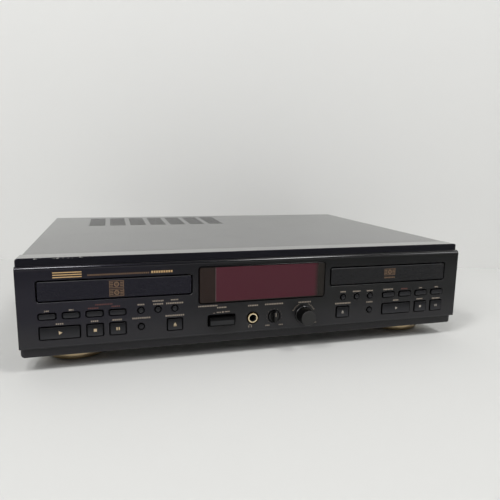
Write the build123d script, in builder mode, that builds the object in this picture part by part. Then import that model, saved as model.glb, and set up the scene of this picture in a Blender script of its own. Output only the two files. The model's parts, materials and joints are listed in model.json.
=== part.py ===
from build123d import *
import math
import os

# Disc recorder with two drives, in millimetres.
# X runs to the right along the front, Y from the front to the back, Z up from the surface it
# stands on. Heights below are measured from the underside of the case, depths from the main face.

os.makedirs("parts", exist_ok=True)

# Case
case_width = 434.0
case_height = 87.2
case_depth = 320.0
foot_height = 14.0
moulding = 2.6
sheet = 1.0
plate = 1.2
seat_gap = 0.3
cover_inset = 2.5

# Front moulding, seen from the side, with its ledge measured down from the top
rim_depth = 24.0
skirt_back = 3.9
main_low = 9.1
band_height = 6.3
ledge_height = 3.3
ledge_high = case_height - band_height
ledge_low = ledge_high - ledge_height
band_back = 3.75
low_corner = 3.3
high_corner = 2.5
band_round = 0.9
main_round = 0.6
skirt_round = 1.2
ledge_bulge = 1.0
opening_chamfer = 0.35

# Disc, tray and door: the tray is as wide as the disc needs, and the door covers it
disc_radius = 60.0
disc_room = 0.9
disc_back = 72.0
tray_wall = 0.7
tray_half = disc_radius + disc_room + tray_wall
runner_reach = 1.9
runner_half = tray_half + runner_reach
door_reach = 3.9
door_width = 2 * (tray_half + door_reach)
door_height = 17.2
door_thickness = 3.0
door_gap = 1.0
door_corner = 1.6
door_chamfer = 0.5
door_drop = 18.6
door_z = ledge_low - door_drop
drive_inset = 82.0
drive_x = case_width / 2 - drive_inset

# Display between the two doors
window_margin = 5.5
window_width = 2 * (drive_x - door_width / 2 - door_gap - window_margin)
window_low = 39.5
window_drop = 2.7
window_height = ledge_low - window_drop - window_low
window_z = window_low + window_height / 2
window_corner = 3.0
window_rebate = 1.6
window_proud = 0.4
window_fit = 0.1
window_border = 4.0

# Keys in the front: the columns are counted in from the side, the round keys from the drives
key_gap = 0.7
key_proud = 0.7
key_travel = 0.6
key_flange = 0.8
key_flange_thickness = 1.2
key_round = 0.45
key_column_inset = 23.7
key_column_pitch = 19.3
key_columns = 4
pill_z = 37.2
pill_width = 15.0
pill_height = 6.1
pill_corner = 1.9
key_row_z = 22.3
key_width = 14.7
key_height = 11.9
key_corner = 1.3
round_radius = 3.15
round_low_z = 22.5
round_high_z = 37.5
round_pitch = 15.1
round_inset = {"left": 50.0, "right": 51.3}

# Power key, knobs and headphone socket, placed from the middle of the front
power_x = -41.3
control_z = 22.8
power_width = 26.5
power_height = 10.9
power_gap = 1.1
power_proud = 4.0
power_travel = 3.0
socket_x = -10.8
socket_bore = 3.25
socket_ring = 5.1
socket_hole = 6.0
socket_body_wall = 1.4
socket_proud = 0.8
socket_round = 0.5
socket_length = 16.0
level_x = 10.9
level_disc = 5.4
level_hole = 6.3
level_grip_width = 3.0
level_grip_inset = 0.4
level_grip_proud = 5.6
level_grip_round = 0.6
level_shaft = 2.5
jog_x = 41.3
jog_base = 9.0
jog_face = 7.4
jog_proud = 14.5
jog_shaft = 3.0
jog_hole_gap = 0.5
jog_skirt = 2.2
jog_step = 0.6
jog_step_in = 0.7
jog_round = 0.8
jog_flutes = 36
flute_width = 0.5
flute_depth = 0.45
flute_margin = 1.2
shaft_fit = 0.05

# Tray, its runners and its rack, with heights set from the middle of the door
tray_low = door_z - 4.0
tray_high = door_z + 4.0
runner_low = door_z - 2.0
runner_high = door_z + 1.0
rack_low = door_z - 8.0
tray_travel = 138.0
tray_held = 25.0
well_depth = 3.4
finger_radius = 13.0
finger_reach = 4.0
small_disc_radius = 40.5
small_well_depth = 1.2
tray_skin = 1.4
tray_rib = 2.0
tray_round = 0.8
slot_half = 20.5
module = 1.0
pinion_teeth = 18
pressure_angle = 20.0
mesh_play = 0.25
tooth_tip = 0.95
tooth_root = 1.2
rack_x = 48.0
rack_backing = 3.0
pinion_back = 36.0
pinion_height = 3.4
pinion_drop = 0.1
pinion_post = 2.0

# Drive frame
frame_front = 27.0
frame_wall = 2.5
frame_gap = 0.4
frame_tail = 10.0
runner_play = 0.3
guide_rib = 1.8
shelf_z = 20.0
shelf_thickness = 2.0
bridge_z = door_z + 7.0
bridge_thickness = 1.5
bridge_half_length = 22.0
pillar_half = 5.0
tray_back = frame_front + tray_travel + tray_held
frame_back = tray_back + frame_tail

# Optical unit that tilts in the drive frame, laid out back from the middle of the disc
pivot_z = door_z - 14.0
pivot_radius = 2.0
pivot_bar_half = 4.0
pivot_bar_height = 4.0
unit_half = 28.0
unit_front = disc_back - 22.0
unit_low = door_z - 15.0
unit_thickness = 2.5
spindle_motor_radius = 12.0
spindle_motor_height = 10.0
spindle_shaft = 1.5
turntable_radius = 15.0
turntable_top = door_z + 1.4
turntable_thickness = 1.5
hub_radius = 7.4
hub_height = 1.5
hub_bevel = 0.8
hub_balls = 3
ball_radius = 0.9
rod_radius = 1.5
rod_x = 20.0
rod_z = door_z - 9.0
rod_front = disc_back + 12.0
rod_clamp = 3.0
pickup_play = 1.3
pickup_start = rod_front + rod_clamp + pickup_play
pickup_length = 19.7
pickup_travel = 35.0
pickup_end_play = 2.0
pickup_wing = 2.5
pickup_cap = 3.0
pickup_gap = 0.7
rod_back = pickup_start + pickup_length + pickup_travel + pickup_end_play + rod_clamp
pivot_back = rod_back + pivot_bar_half
lens_offset = 23.0
lens_base = (18.0, 12.0)
lens_base_height = 2.4
lens_radius = 3.5
lens_height = 2.0

# Clamper in the bridge
clamper_radius = 14.0
clamper_low = door_z + 3.0
clamper_hole = 10.0
clamper_play = 0.3
clamper_rim = 2.0
clamper_thickness = 1.5
clamper_recess = 1.2

# Front board and what stands on it
board_back = 11.7
board_thickness = 1.6
board_low = 12.0
board_high = rack_low - 5.0
board_half = case_width / 2 - 6.0
board_socket_gap = 2.0
board_tab_inset = 1.0
switch_size = 6.2
switch_height = 4.3
power_switch_height = 2.7
rotary_size = 12.5
rotary_height = 7.5
tube_width = window_width - 14.0
tube_height = window_height - 9.4
tube_thickness = 6.0
tube_chamfer = 0.8

# Feet, placed in from the sides and from the back
foot_x = case_width / 2 - 43.5
foot_front = 53.0
foot_rear = case_depth - 50.0
foot_radius = 29.0
foot_core = 24.5
foot_neck = 1.5
pad_radius = 23.0
pad_height = 1.4
ring_low = 1.8
ring_high = 10.5
ring_edge = 0.6
ring_shoulder = 2.0
ring_top_width = 2.5

# Cover and its screws
vent_width = 20.4
vent_pitch = 26.0
vent_blocks = 7
vent_rows = 14
vent_inset = 19.5
vent_slot = 3.0
vent_row_pitch = 6.0
rear_lip = 12.0
cover_bottom = 2.0
cover_fold = 1.6
screw_hole = 1.8
screw_shank = 1.6
screw_head = 3.6
screw_head_height = 2.0
screw_length = 5.0
side_screw_z = 16.0
side_screw_backs = (70.0, case_depth - 70.0)
rear_screw_inset = 27.0
rear_screw_xs = (rear_screw_inset - case_width / 2, 0.0, case_width / 2 - rear_screw_inset)

# Chassis openings
tray_window = door_gap + 2.0
wire_pass = 24.0
wire_pass_pitch = 34.0
floor_slot = (12.0, 4.0)
floor_slot_pitch = (18.0, 14.0)
floor_slot_counts = (5, 6)
floor_slot_back = 120.0

# Back panel, with its sockets counted in from the right and the inlet from the left
jack_pitch = 16.0
jack_radius = 4.15
jack_bore = 1.65
jack_reach = 9.5
jack_body = 12.0
jack_floor = 2.0
jack_hole = jack_radius + 0.45
jack_fit = 0.2
jack_flange = jack_hole + 0.8
jack_flange_thickness = 0.9
jack_body_radius = jack_flange + 1.6
jack_row_high = 58.0
jack_row_low = 40.0
jack_columns = (case_width / 2 - 197.0, case_width / 2 - 161.0, case_width / 2 - 107.0)
optical_xs = (case_width / 2 - 67.0, case_width / 2 - 41.0)
optical_size = 12.0
optical_fit = 0.2
optical_proud = 1.5
optical_body_rim = 1.0
optical_shutter = (8.0, 7.6)
optical_shutter_corner = 1.0
optical_shutter_depth = 0.8
inlet_x = 39.0 - case_width / 2
inlet_z = 32.0
inlet_width = 22.0
inlet_height = 13.0
inlet_fit = 0.2
inlet_rim = 2.5
inlet_rim_thickness = 1.6
inlet_rim_corner = 2.0
inlet_floor = 3.0
inlet_room_width = inlet_width - 5.4
inlet_room_height = inlet_height - 3.8
inlet_room_depth = 10.0
inlet_pin_pitch = 8.6
inlet_pin = 1.2
inlet_pin_short = 1.5

# Worked out from the sizes above
panel_back = case_depth - sheet
overall_depth = jog_proud + panel_back + jack_reach
front_y = jog_proud - overall_depth / 2
cover_half = case_width / 2 - cover_inset
chassis_half = cover_half - sheet - seat_gap
frame_inner = runner_half + frame_gap
frame_outer = frame_inner + frame_wall
pinion_pitch = module * pinion_teeth / 2
pinion_x = rack_x - pinion_pitch
pinion_low = rack_low - pinion_drop
unit_top = unit_low + unit_thickness
switch_front = board_back - switch_height
rear_screw_z = case_height - sheet - rear_lip / 2


def face_at(back):
    # Upright plane this far behind the main face, looking out to the front
    return Plane(origin=(0, front_y + back, foot_height), x_dir=(1, 0, 0), z_dir=(0, -1, 0))


def floor_at(up, x=0.0):
    # Level plane this far above the underside, with its Y counted from the main face
    return Plane(origin=(x, front_y, foot_height + up), x_dir=(1, 0, 0), z_dir=(0, 0, 1))


def side_at(x):
    # Upright plane across the case, with depth and height as its two directions
    return Plane(origin=(x, front_y, foot_height), x_dir=(0, 1, 0), z_dir=(1, 0, 0))


def front_axis(x, z):
    # Axis that runs straight back from the front
    return Axis((x, front_y, foot_height + z), (0, 1, 0))


def upright_axis(x, back):
    # Axis that stands upright
    return Axis((x, front_y + back, 0), (0, 0, 1))


def upright_at(x, back):
    # Plane through an upright axis, with radius and height as its two directions
    return Plane(origin=(x, front_y + back, foot_height), x_dir=(1, 0, 0), z_dir=(0, -1, 0))


def outline_between(corners):
    # Closed outline through straight corners
    Polygon(*corners, align=None)


def span(low_x, low_y, high_x, high_y):
    # Rectangle between two corners
    with Locations(((low_x + high_x) / 2, (low_y + high_y) / 2)):
        Rectangle(high_x - low_x, high_y - low_y)


def finish_part(builder, name):
    # Label one finished piece and write it
    builder.part.label = name
    export_step(builder.part, f"parts/{name}.step")


# Keys: name, x, height, width and height of the opening, corner
def key_column(index):
    return case_width / 2 - key_column_inset - (key_columns - 1 - index) * key_column_pitch


pill_names = {
    "left": ("copy_speed_key", "copy_start_key", "next_key_left", "back_key_left"),
    "right": ("finish_disc_key", "record_key", "back_key_right", "next_key_right"),
}
round_names = {
    "left": ("title_key", "text_key", "time_key_left", "relay_key"),
    "right": ("time_key_right", "clear_key", "repeat_key", "menu_key"),
}
sides = {"left": -1, "right": 1}
square_keys = []
round_keys = []
for side, sign in sides.items():
    for index, name in enumerate(pill_names[side]):
        square_keys.append((name, sign * key_column(index), pill_z, pill_width, pill_height, pill_corner))
    play_first = 2 if sign < 0 else 0
    stop_first = 1 if sign < 0 else 2
    pause_first = 0 if sign < 0 else 3
    play_width = key_column_pitch + key_width
    play_x = sign * (key_column(play_first) + key_column_pitch / 2)
    square_keys.append((f"play_key_{side}", play_x, key_row_z, play_width, key_height, key_corner))
    for name, index in ((f"stop_key_{side}", stop_first), (f"pause_key_{side}", pause_first)):
        square_keys.append((name, sign * key_column(index), key_row_z, key_width, key_height, key_corner))
    round_first = drive_x - round_inset[side]
    square_keys.append((f"open_key_{side}", sign * round_first, key_row_z, key_width, key_height, key_corner))
    for index in range(3):
        round_x = sign * (round_first + index * round_pitch)
        round_keys.append((round_names[side][index], round_x, round_high_z))
    round_x = sign * (round_first + 2 * round_pitch)
    round_keys.append((round_names[side][3], round_x, round_low_z))

# Front moulding, with bosses that carry the board: two at the sides, two beside the window, one below it
boss_radius = 2.6
boss_z = 30.0
middle_boss_z = 34.0
side_boss_x = case_width / 2 - 10.0
window_boss_x = window_width / 2 + 5.0
boss_spots = [(x, boss_z) for x in (-side_boss_x, -window_boss_x, window_boss_x, side_boss_x)]
boss_spots.append((0.0, middle_boss_z))

with BuildPart() as front_fascia:
    with BuildSketch(side_at(-case_width / 2)) as front_profile:
        with BuildLine():
            Polyline((band_back, ledge_high), (band_back, case_height), (rim_depth, case_height),
                     (rim_depth, 0), (skirt_back, 0), (skirt_back, main_low), (0, main_low),
                     (0, ledge_low))
            ThreePointArc((0, ledge_low), (band_back * 0.3, ledge_high - ledge_bulge), (band_back, ledge_high))
        make_face()
        for spot, rounding in (((band_back, case_height), band_round), ((0, main_low), main_round),
                               ((skirt_back, 0), skirt_round)):
            corner = front_profile.vertices().sort_by_distance(Vector(*spot, 0))[0]
            fillet(corner, rounding)
    extrude(amount=case_width)
    for height, rounding in ((0, low_corner), (case_height, high_corner)):
        level = foot_height + height
        long_edges = front_fascia.edges().filter_by(Axis.Y)
        fillet(long_edges.filter_by_position(Axis.Z, level - 0.01, level + 0.01), rounding)
    with BuildSketch(side_at(-case_width / 2 + moulding)):
        outline_between(((skirt_back + moulding, moulding), (rim_depth, moulding),
                         (rim_depth, case_height - moulding),
                         (band_back + moulding, case_height - moulding),
                         (band_back + moulding, ledge_high - moulding / 2),
                         (moulding, ledge_low - moulding / 2), (moulding, main_low + moulding),
                         (skirt_back + moulding, main_low + moulding)))
    extrude(amount=case_width - 2 * moulding, mode=Mode.SUBTRACT)
    with BuildSketch(face_at(0)):
        for sign in sides.values():
            with Locations((sign * drive_x, door_z)):
                RectangleRounded(door_width + 2 * door_gap, door_height + 2 * door_gap,
                                 door_corner + door_gap)
        for name, x, z, opening_width, opening_height, corner in square_keys:
            with Locations((x, z)):
                RectangleRounded(opening_width, opening_height, corner)
        for name, x, z in round_keys:
            with Locations((x, z)):
                Circle(round_radius)
        with Locations((power_x, control_z)):
            RectangleRounded(power_width, power_height, key_corner)
        with Locations((socket_x, control_z)):
            Circle(socket_hole)
        with Locations((level_x, control_z)):
            Circle(level_hole)
        with Locations((jog_x, control_z)):
            Circle(jog_shaft + jog_hole_gap)
        with Locations((0, window_z)):
            RectangleRounded(window_width - 2 * window_border, window_height - 2 * window_border,
                             window_corner)
    extrude(amount=-moulding * 1.5, mode=Mode.SUBTRACT)
    with BuildSketch(face_at(0)):
        with Locations((0, window_z)):
            RectangleRounded(window_width, window_height, window_corner)
    extrude(amount=-window_rebate, mode=Mode.SUBTRACT)
    main_face = front_fascia.faces().filter_by(Axis.Y).sort_by(Axis.Y)[0]
    opening_edges = [edge for wire in main_face.inner_wires() for edge in wire.edges()]
    chamfer(opening_edges, opening_chamfer)
    with BuildSketch(face_at(moulding)):
        with Locations(*boss_spots):
            Circle(boss_radius)
    extrude(amount=-(board_back - moulding))
finish_part(front_fascia, "front_fascia")

# Window over the display
with BuildPart() as display_window:
    with BuildSketch(face_at(window_rebate)):
        with Locations((0, window_z)):
            RectangleRounded(window_width - 2 * window_fit, window_height - 2 * window_fit,
                             window_corner - window_fit)
    extrude(amount=window_rebate + window_proud)
    fillet(display_window.faces().sort_by(Axis.Y)[0].edges(), window_proud * 0.8)
finish_part(display_window, "display_window")

# Board behind the front, with a tab that carries the display tube
with BuildPart() as front_board:
    with BuildSketch(face_at(board_back)):
        span(-board_half, board_low, board_half, board_high)
        span(board_tab_inset - window_width / 2, board_high,
             window_width / 2 - board_tab_inset, window_low + window_height + board_tab_inset)
        with Locations((socket_x, control_z)):
            Circle(socket_hole + board_socket_gap, mode=Mode.SUBTRACT)
    extrude(amount=-board_thickness)
finish_part(front_board, "front_board")

with BuildPart() as display_tube:
    with BuildSketch(face_at(board_back)):
        with Locations((0, window_z)):
            Rectangle(tube_width, tube_height)
    extrude(amount=tube_thickness)
    chamfer(display_tube.faces().sort_by(Axis.Y)[0].edges(), tube_chamfer)
finish_part(display_tube, "display_tube")

with BuildPart() as front_switches:
    with BuildSketch(face_at(board_back)):
        for key in square_keys + round_keys:
            with Locations((key[1], key[2])):
                Rectangle(switch_size, switch_size)
    extrude(amount=switch_height)
    with BuildSketch(face_at(board_back)):
        with Locations((power_x, control_z)):
            Rectangle(power_height * 1.4, power_height * 0.8)
    extrude(amount=power_switch_height)
    for x, shaft in ((level_x, level_shaft), (jog_x, jog_shaft)):
        with BuildSketch(face_at(board_back)):
            with Locations((x, control_z)):
                Rectangle(rotary_size, rotary_size)
                Circle(shaft + shaft_fit, mode=Mode.SUBTRACT)
        extrude(amount=rotary_height)
finish_part(front_switches, "front_switches")

# Headphone socket: metal ring in front, body behind the moulding
with BuildPart() as headphone_socket:
    with BuildSketch(face_at(-socket_proud)):
        with Locations((socket_x, control_z)):
            Circle(socket_ring)
    extrude(amount=-(socket_proud + moulding))
    fillet(headphone_socket.faces().sort_by(Axis.Y)[0].edges(), socket_round)
    with BuildSketch(face_at(moulding)):
        with Locations((socket_x, control_z)):
            Circle(socket_hole + socket_body_wall)
    extrude(amount=-(socket_length - moulding))
    with BuildSketch(face_at(-socket_proud)):
        with Locations((socket_x, control_z)):
            Circle(socket_bore)
    extrude(amount=-(socket_length + socket_proud - plate), mode=Mode.SUBTRACT)
finish_part(headphone_socket, "headphone_socket")


# Keys: a cap in its opening, a flange that holds it in, and a stem towards its switch
def make_key(name, x, z, cap, flange, proud, travel, stem_end):
    with BuildPart() as key:
        with BuildSketch(face_at(-proud)):
            with Locations((x, z)):
                cap()
        extrude(amount=-(proud + moulding + seat_gap))
        fillet(key.faces().sort_by(Axis.Y)[0].edges(), key_round)
        with BuildSketch(face_at(moulding + seat_gap)):
            with Locations((x, z)):
                flange()
        extrude(amount=-key_flange_thickness)
        with BuildSketch(face_at(moulding + seat_gap + key_flange_thickness)):
            with Locations((x, z)):
                Rectangle(switch_size / 2, switch_size / 2)
        extrude(amount=-(stem_end - travel - seat_gap - moulding - seat_gap - key_flange_thickness))
    finish_part(key, name)


for name, x, z, opening_width, opening_height, corner in square_keys:
    make_key(name, x, z,
             lambda: RectangleRounded(opening_width - 2 * key_gap, opening_height - 2 * key_gap,
                                      corner - key_gap / 2),
             lambda: Rectangle(opening_width + 2 * key_flange, opening_height + 2 * key_flange),
             key_proud, key_travel, switch_front)
for name, x, z in round_keys:
    make_key(name, x, z, lambda: Circle(round_radius - key_gap),
             lambda: Circle(round_radius + key_flange), key_proud, key_travel, switch_front)
make_key("power_key", power_x, control_z,
         lambda: RectangleRounded(power_width - 2 * power_gap, power_height - 2 * power_gap, key_corner),
         lambda: Rectangle(power_width + 2 * key_flange, power_height + 2 * key_flange),
         power_proud, power_travel, board_back - power_switch_height)

# Headphone level knob: a disc in its hole with a grip across it, and a shaft
with BuildPart() as level_knob:
    with BuildSketch(face_at(0)):
        with Locations((level_x, control_z)):
            Circle(level_disc)
    extrude(amount=-moulding)
    with BuildSketch(face_at(0)):
        with Locations((level_x, control_z)):
            Rectangle(level_grip_width, 2 * (level_disc - level_grip_inset))
    extrude(amount=level_grip_proud)
    grip_edges = level_knob.edges().filter_by_position(Axis.Y, front_y - level_grip_proud - 0.1,
                                                       front_y - 0.1)
    fillet(grip_edges, level_grip_round)
    with BuildSketch(face_at(moulding)):
        with Locations((level_x, control_z)):
            Circle(level_shaft)
    extrude(amount=-(board_back - moulding - seat_gap))
finish_part(level_knob, "level_knob")

# Jog knob: a tapered grip with fine flutes, and a shaft
with BuildPart() as jog_knob:
    shoulder = jog_skirt + jog_step
    rounding_in = jog_round * (1 - math.sqrt(0.5))
    with BuildSketch(side_at(jog_x)):
        with BuildLine():
            Polyline((board_back - seat_gap, control_z), (board_back - seat_gap, control_z + jog_shaft),
                     (-seat_gap, control_z + jog_shaft), (-seat_gap, control_z + jog_base),
                     (-jog_skirt, control_z + jog_base), (-shoulder, control_z + jog_base - jog_step_in),
                     (-jog_proud + jog_round, control_z + jog_face))
            ThreePointArc((-jog_proud + jog_round, control_z + jog_face),
                          (-jog_proud + rounding_in, control_z + jog_face - rounding_in),
                          (-jog_proud, control_z + jog_face - jog_round))
            Polyline((-jog_proud, control_z + jog_face - jog_round), (-jog_proud, control_z),
                     (board_back - seat_gap, control_z))
        make_face()
    revolve(axis=front_axis(jog_x, control_z))
    with BuildSketch(face_at(-jog_proud + flute_margin)):
        with Locations((jog_x, control_z)):
            with PolarLocations(jog_base, jog_flutes):
                Rectangle(2 * flute_depth, flute_width)
    extrude(amount=-(jog_proud - flute_margin - shoulder - jog_step), mode=Mode.SUBTRACT)
finish_part(jog_knob, "jog_knob")

# Chassis: pan, side flanges and the upright plate behind the front moulding
with BuildPart() as chassis_base:
    with BuildSketch(floor_at(0)):
        span(-chassis_half, rim_depth, chassis_half, panel_back - plate)
        with Locations((0, floor_slot_back)):
            with GridLocations(*floor_slot_pitch, *floor_slot_counts):
                SlotOverall(*floor_slot, mode=Mode.SUBTRACT)
    extrude(amount=plate)
    with BuildSketch(floor_at(plate)):
        for sign in sides.values():
            span(sign * chassis_half - (plate if sign > 0 else 0), rim_depth + plate,
                 sign * chassis_half + (plate if sign < 0 else 0), panel_back - plate)
    extrude(amount=side_screw_z + 2 * screw_head - plate)
    with BuildSketch(face_at(rim_depth)):
        span(-chassis_half, plate, chassis_half, case_height - sheet - seat_gap)
        for sign in sides.values():
            with Locations((sign * drive_x, door_z)):
                Rectangle(door_width + 2 * tray_window, door_height + 2 * tray_window, mode=Mode.SUBTRACT)
        with Locations((0, case_height / 2)):
            with GridLocations(wire_pass_pitch, wire_pass_pitch, 2, 2):
                Rectangle(wire_pass, wire_pass, mode=Mode.SUBTRACT)
    extrude(amount=-plate)
    for x in (-cover_half, cover_half):
        with BuildSketch(side_at(x)):
            with Locations(*[(back, side_screw_z) for back in side_screw_backs]):
                Circle(screw_hole)
        extrude(amount=math.copysign(4 * plate, -x), mode=Mode.SUBTRACT)
finish_part(chassis_base, "chassis_base")

# Cover: folded sheet with vent slots and a lip over the back panel
vent_length = (vent_rows - 1) * vent_row_pitch
vent_middle = case_depth - vent_inset - vent_length / 2
with BuildPart() as top_cover:
    with BuildSketch(face_at(rim_depth + seat_gap)):
        with Locations((0, (case_height + cover_bottom) / 2)):
            Rectangle(2 * cover_half, case_height - cover_bottom)
    extrude(amount=-(case_depth - rim_depth - seat_gap))
    roof_edges = top_cover.edges().filter_by(Axis.Y)
    fillet(roof_edges.filter_by_position(Axis.Z, foot_height + case_height - 0.01,
                                         foot_height + case_height + 0.01), cover_fold)
    with BuildSketch(face_at(0)):
        with Locations((0, (case_height - sheet) / 2)):
            Rectangle(2 * (cover_half - sheet), case_height - sheet)
    extrude(amount=-(case_depth - sheet), mode=Mode.SUBTRACT)
    with BuildSketch(face_at(0)):
        with Locations((0, (case_height - sheet - rear_lip) / 2)):
            Rectangle(2 * (cover_half - sheet), case_height - sheet - rear_lip)
    extrude(amount=-2 * case_depth, mode=Mode.SUBTRACT)
    with BuildSketch(floor_at(case_height)):
        with Locations((-(vent_blocks - 1) * vent_pitch / 2, vent_middle)):
            with GridLocations(vent_pitch, vent_row_pitch, vent_blocks, vent_rows):
                SlotOverall(vent_width, vent_slot)
    extrude(amount=-2 * sheet, mode=Mode.SUBTRACT)
    with BuildSketch(side_at(-case_width / 2)):
        with Locations(*[(back, side_screw_z) for back in side_screw_backs]):
            Circle(screw_hole)
    extrude(amount=case_width, mode=Mode.SUBTRACT)
    with BuildSketch(face_at(panel_back)):
        with Locations(*[(x, rear_screw_z) for x in rear_screw_xs]):
            Circle(screw_hole)
    extrude(amount=-2 * sheet, mode=Mode.SUBTRACT)
finish_part(top_cover, "top_cover")

# Screws that hold the cover
with BuildPart() as case_screws:
    for x in (-cover_half, cover_half):
        outward = math.copysign(1, x)
        with BuildSketch(side_at(x)):
            with Locations(*[(back, side_screw_z) for back in side_screw_backs]):
                Circle(screw_head)
        extrude(amount=outward * screw_head_height)
        with BuildSketch(side_at(x)):
            with Locations(*[(back, side_screw_z) for back in side_screw_backs]):
                Circle(screw_shank)
        extrude(amount=-outward * screw_length)
    with BuildSketch(face_at(case_depth)):
        with Locations(*[(x, rear_screw_z) for x in rear_screw_xs]):
            Circle(screw_head)
    extrude(amount=-screw_head_height)
    with BuildSketch(face_at(case_depth)):
        with Locations(*[(x, rear_screw_z) for x in rear_screw_xs]):
            Circle(screw_shank)
    extrude(amount=screw_length)
finish_part(case_screws, "case_screws")

# Back panel with its sockets
jack_spots = [(x, z) for x in jack_columns for z in (jack_row_low, jack_row_high)]
jack_spots += [(x + jack_pitch, z) for x in jack_columns[:2] for z in (jack_row_low, jack_row_high)]
with BuildPart() as rear_panel:
    with BuildSketch(face_at(panel_back)):
        span(-chassis_half, 0, chassis_half, case_height - sheet - seat_gap)
        with Locations(*jack_spots):
            Circle(jack_hole, mode=Mode.SUBTRACT)
        with Locations(*[(x, jack_row_low) for x in optical_xs]):
            Rectangle(optical_size, optical_size, mode=Mode.SUBTRACT)
        with Locations((inlet_x, inlet_z)):
            Rectangle(inlet_width, inlet_height, mode=Mode.SUBTRACT)
        with Locations(*[(x, rear_screw_z) for x in rear_screw_xs]):
            Circle(screw_hole, mode=Mode.SUBTRACT)
    extrude(amount=plate)
finish_part(rear_panel, "rear_panel")

with BuildPart() as rear_sockets:
    jack_end = panel_back - plate - jack_body
    for x, z in jack_spots:
        with BuildSketch(side_at(x)):
            outline_between(((jack_end, z), (jack_end + jack_floor, z),
                             (jack_end + jack_floor, z + jack_bore),
                             (panel_back + jack_reach, z + jack_bore),
                             (panel_back + jack_reach, z + jack_radius),
                             (panel_back + jack_flange_thickness, z + jack_radius),
                             (panel_back + jack_flange_thickness, z + jack_flange),
                             (panel_back, z + jack_flange), (panel_back, z + jack_hole - jack_fit),
                             (panel_back - plate, z + jack_hole - jack_fit),
                             (panel_back - plate, z + jack_body_radius), (jack_end, z + jack_body_radius)))
        revolve(axis=front_axis(x, z))
    with BuildSketch(face_at(panel_back + optical_proud)):
        with Locations(*[(x, jack_row_low) for x in optical_xs]):
            Rectangle(optical_size - 2 * optical_fit, optical_size - 2 * optical_fit)
    extrude(amount=optical_proud + plate)
    with BuildSketch(face_at(panel_back - plate)):
        with Locations(*[(x, jack_row_low) for x in optical_xs]):
            Rectangle(optical_size + 2 * optical_body_rim, optical_size + 2 * optical_body_rim)
    extrude(amount=jack_body)
    with BuildSketch(face_at(panel_back + optical_proud)):
        with Locations(*[(x, jack_row_low) for x in optical_xs]):
            RectangleRounded(*optical_shutter, optical_shutter_corner)
    extrude(amount=optical_shutter_depth, mode=Mode.SUBTRACT)
finish_part(rear_sockets, "rear_sockets")

with BuildPart() as mains_inlet:
    inlet_face = panel_back + inlet_rim_thickness
    with BuildSketch(face_at(inlet_face)):
        with Locations((inlet_x, inlet_z)):
            RectangleRounded(inlet_width + 2 * inlet_rim, inlet_height + 2 * inlet_rim, inlet_rim_corner)
    extrude(amount=inlet_rim_thickness)
    with BuildSketch(face_at(panel_back)):
        with Locations((inlet_x, inlet_z)):
            Rectangle(inlet_width - 2 * inlet_fit, inlet_height - 2 * inlet_fit)
    extrude(amount=inlet_room_depth + inlet_floor)
    with BuildSketch(face_at(inlet_face)):
        with Locations((inlet_x, inlet_z)):
            RectangleRounded(inlet_room_width, inlet_room_height, inlet_room_height / 2 - 0.1)
    extrude(amount=inlet_room_depth, mode=Mode.SUBTRACT)
    with BuildSketch(face_at(inlet_face - inlet_room_depth)):
        with Locations((inlet_x, inlet_z)):
            with GridLocations(inlet_pin_pitch, 1, 2, 1):
                Circle(inlet_pin)
    extrude(amount=-(inlet_room_depth - inlet_pin_short))
finish_part(mains_inlet, "mains_inlet")

# Feet: moulded core, metal ring and soft pad
foot_spots = [(x, back) for x in (-foot_x, foot_x) for back in (foot_front, foot_rear)]
with BuildPart() as feet:
    for x, back in foot_spots:
        with BuildSketch(upright_at(x, back)):
            outline_between(((0, 0), (foot_core + foot_neck, 0),
                             (foot_core + foot_neck, ring_high - foot_height),
                             (foot_core, ring_high - foot_height), (foot_core, pad_height - foot_height),
                             (0, pad_height - foot_height)))
        revolve(axis=upright_axis(x, back))
finish_part(feet, "feet")

with BuildPart() as foot_rings:
    low = ring_low - foot_height
    high = ring_high - foot_height
    for x, back in foot_spots:
        with BuildSketch(upright_at(x, back)):
            with BuildLine():
                Polyline((foot_core, low), (foot_radius - ring_edge, low))
                ThreePointArc((foot_radius - ring_edge, low), (foot_radius, low + ring_shoulder),
                              (foot_core + ring_top_width, high))
                Polyline((foot_core + ring_top_width, high), (foot_core, high), (foot_core, low))
            make_face()
        revolve(axis=upright_axis(x, back))
finish_part(foot_rings, "foot_rings")

with BuildPart() as foot_pads:
    with BuildSketch(Plane.XY):
        with Locations(*[(x, front_y + back) for x, back in foot_spots]):
            Circle(pad_radius)
    extrude(amount=pad_height)
finish_part(foot_pads, "foot_pads")

# Mains transformer on the pan, between the left drive and the back panel
core_width = 60.0
core_depth = 26.0
core_height = 50.0
coil_width = 40.0
coil_depth = 50.0
coil_height = 30.0
coil_corner = 5.0
tab_width = 8.0
tab_thickness = 2.0
transformer_x = 52.0 - case_width / 2
transformer_back = (frame_back + panel_back) / 2 - 4.5
with BuildPart() as transformer:
    with BuildSketch(floor_at(plate)):
        with Locations((transformer_x, transformer_back)):
            Rectangle(core_width + 2 * tab_width, core_depth)
    extrude(amount=tab_thickness)
    with BuildSketch(floor_at(plate + tab_thickness)):
        with Locations((transformer_x, transformer_back)):
            Rectangle(core_width, core_depth)
    extrude(amount=core_height)
    with BuildSketch(floor_at(plate + tab_thickness + (core_height - coil_height) / 2)):
        with Locations((transformer_x, transformer_back)):
            RectangleRounded(coil_width, coil_depth, coil_corner)
    extrude(amount=coil_height)
finish_part(transformer, "transformer")

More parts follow.
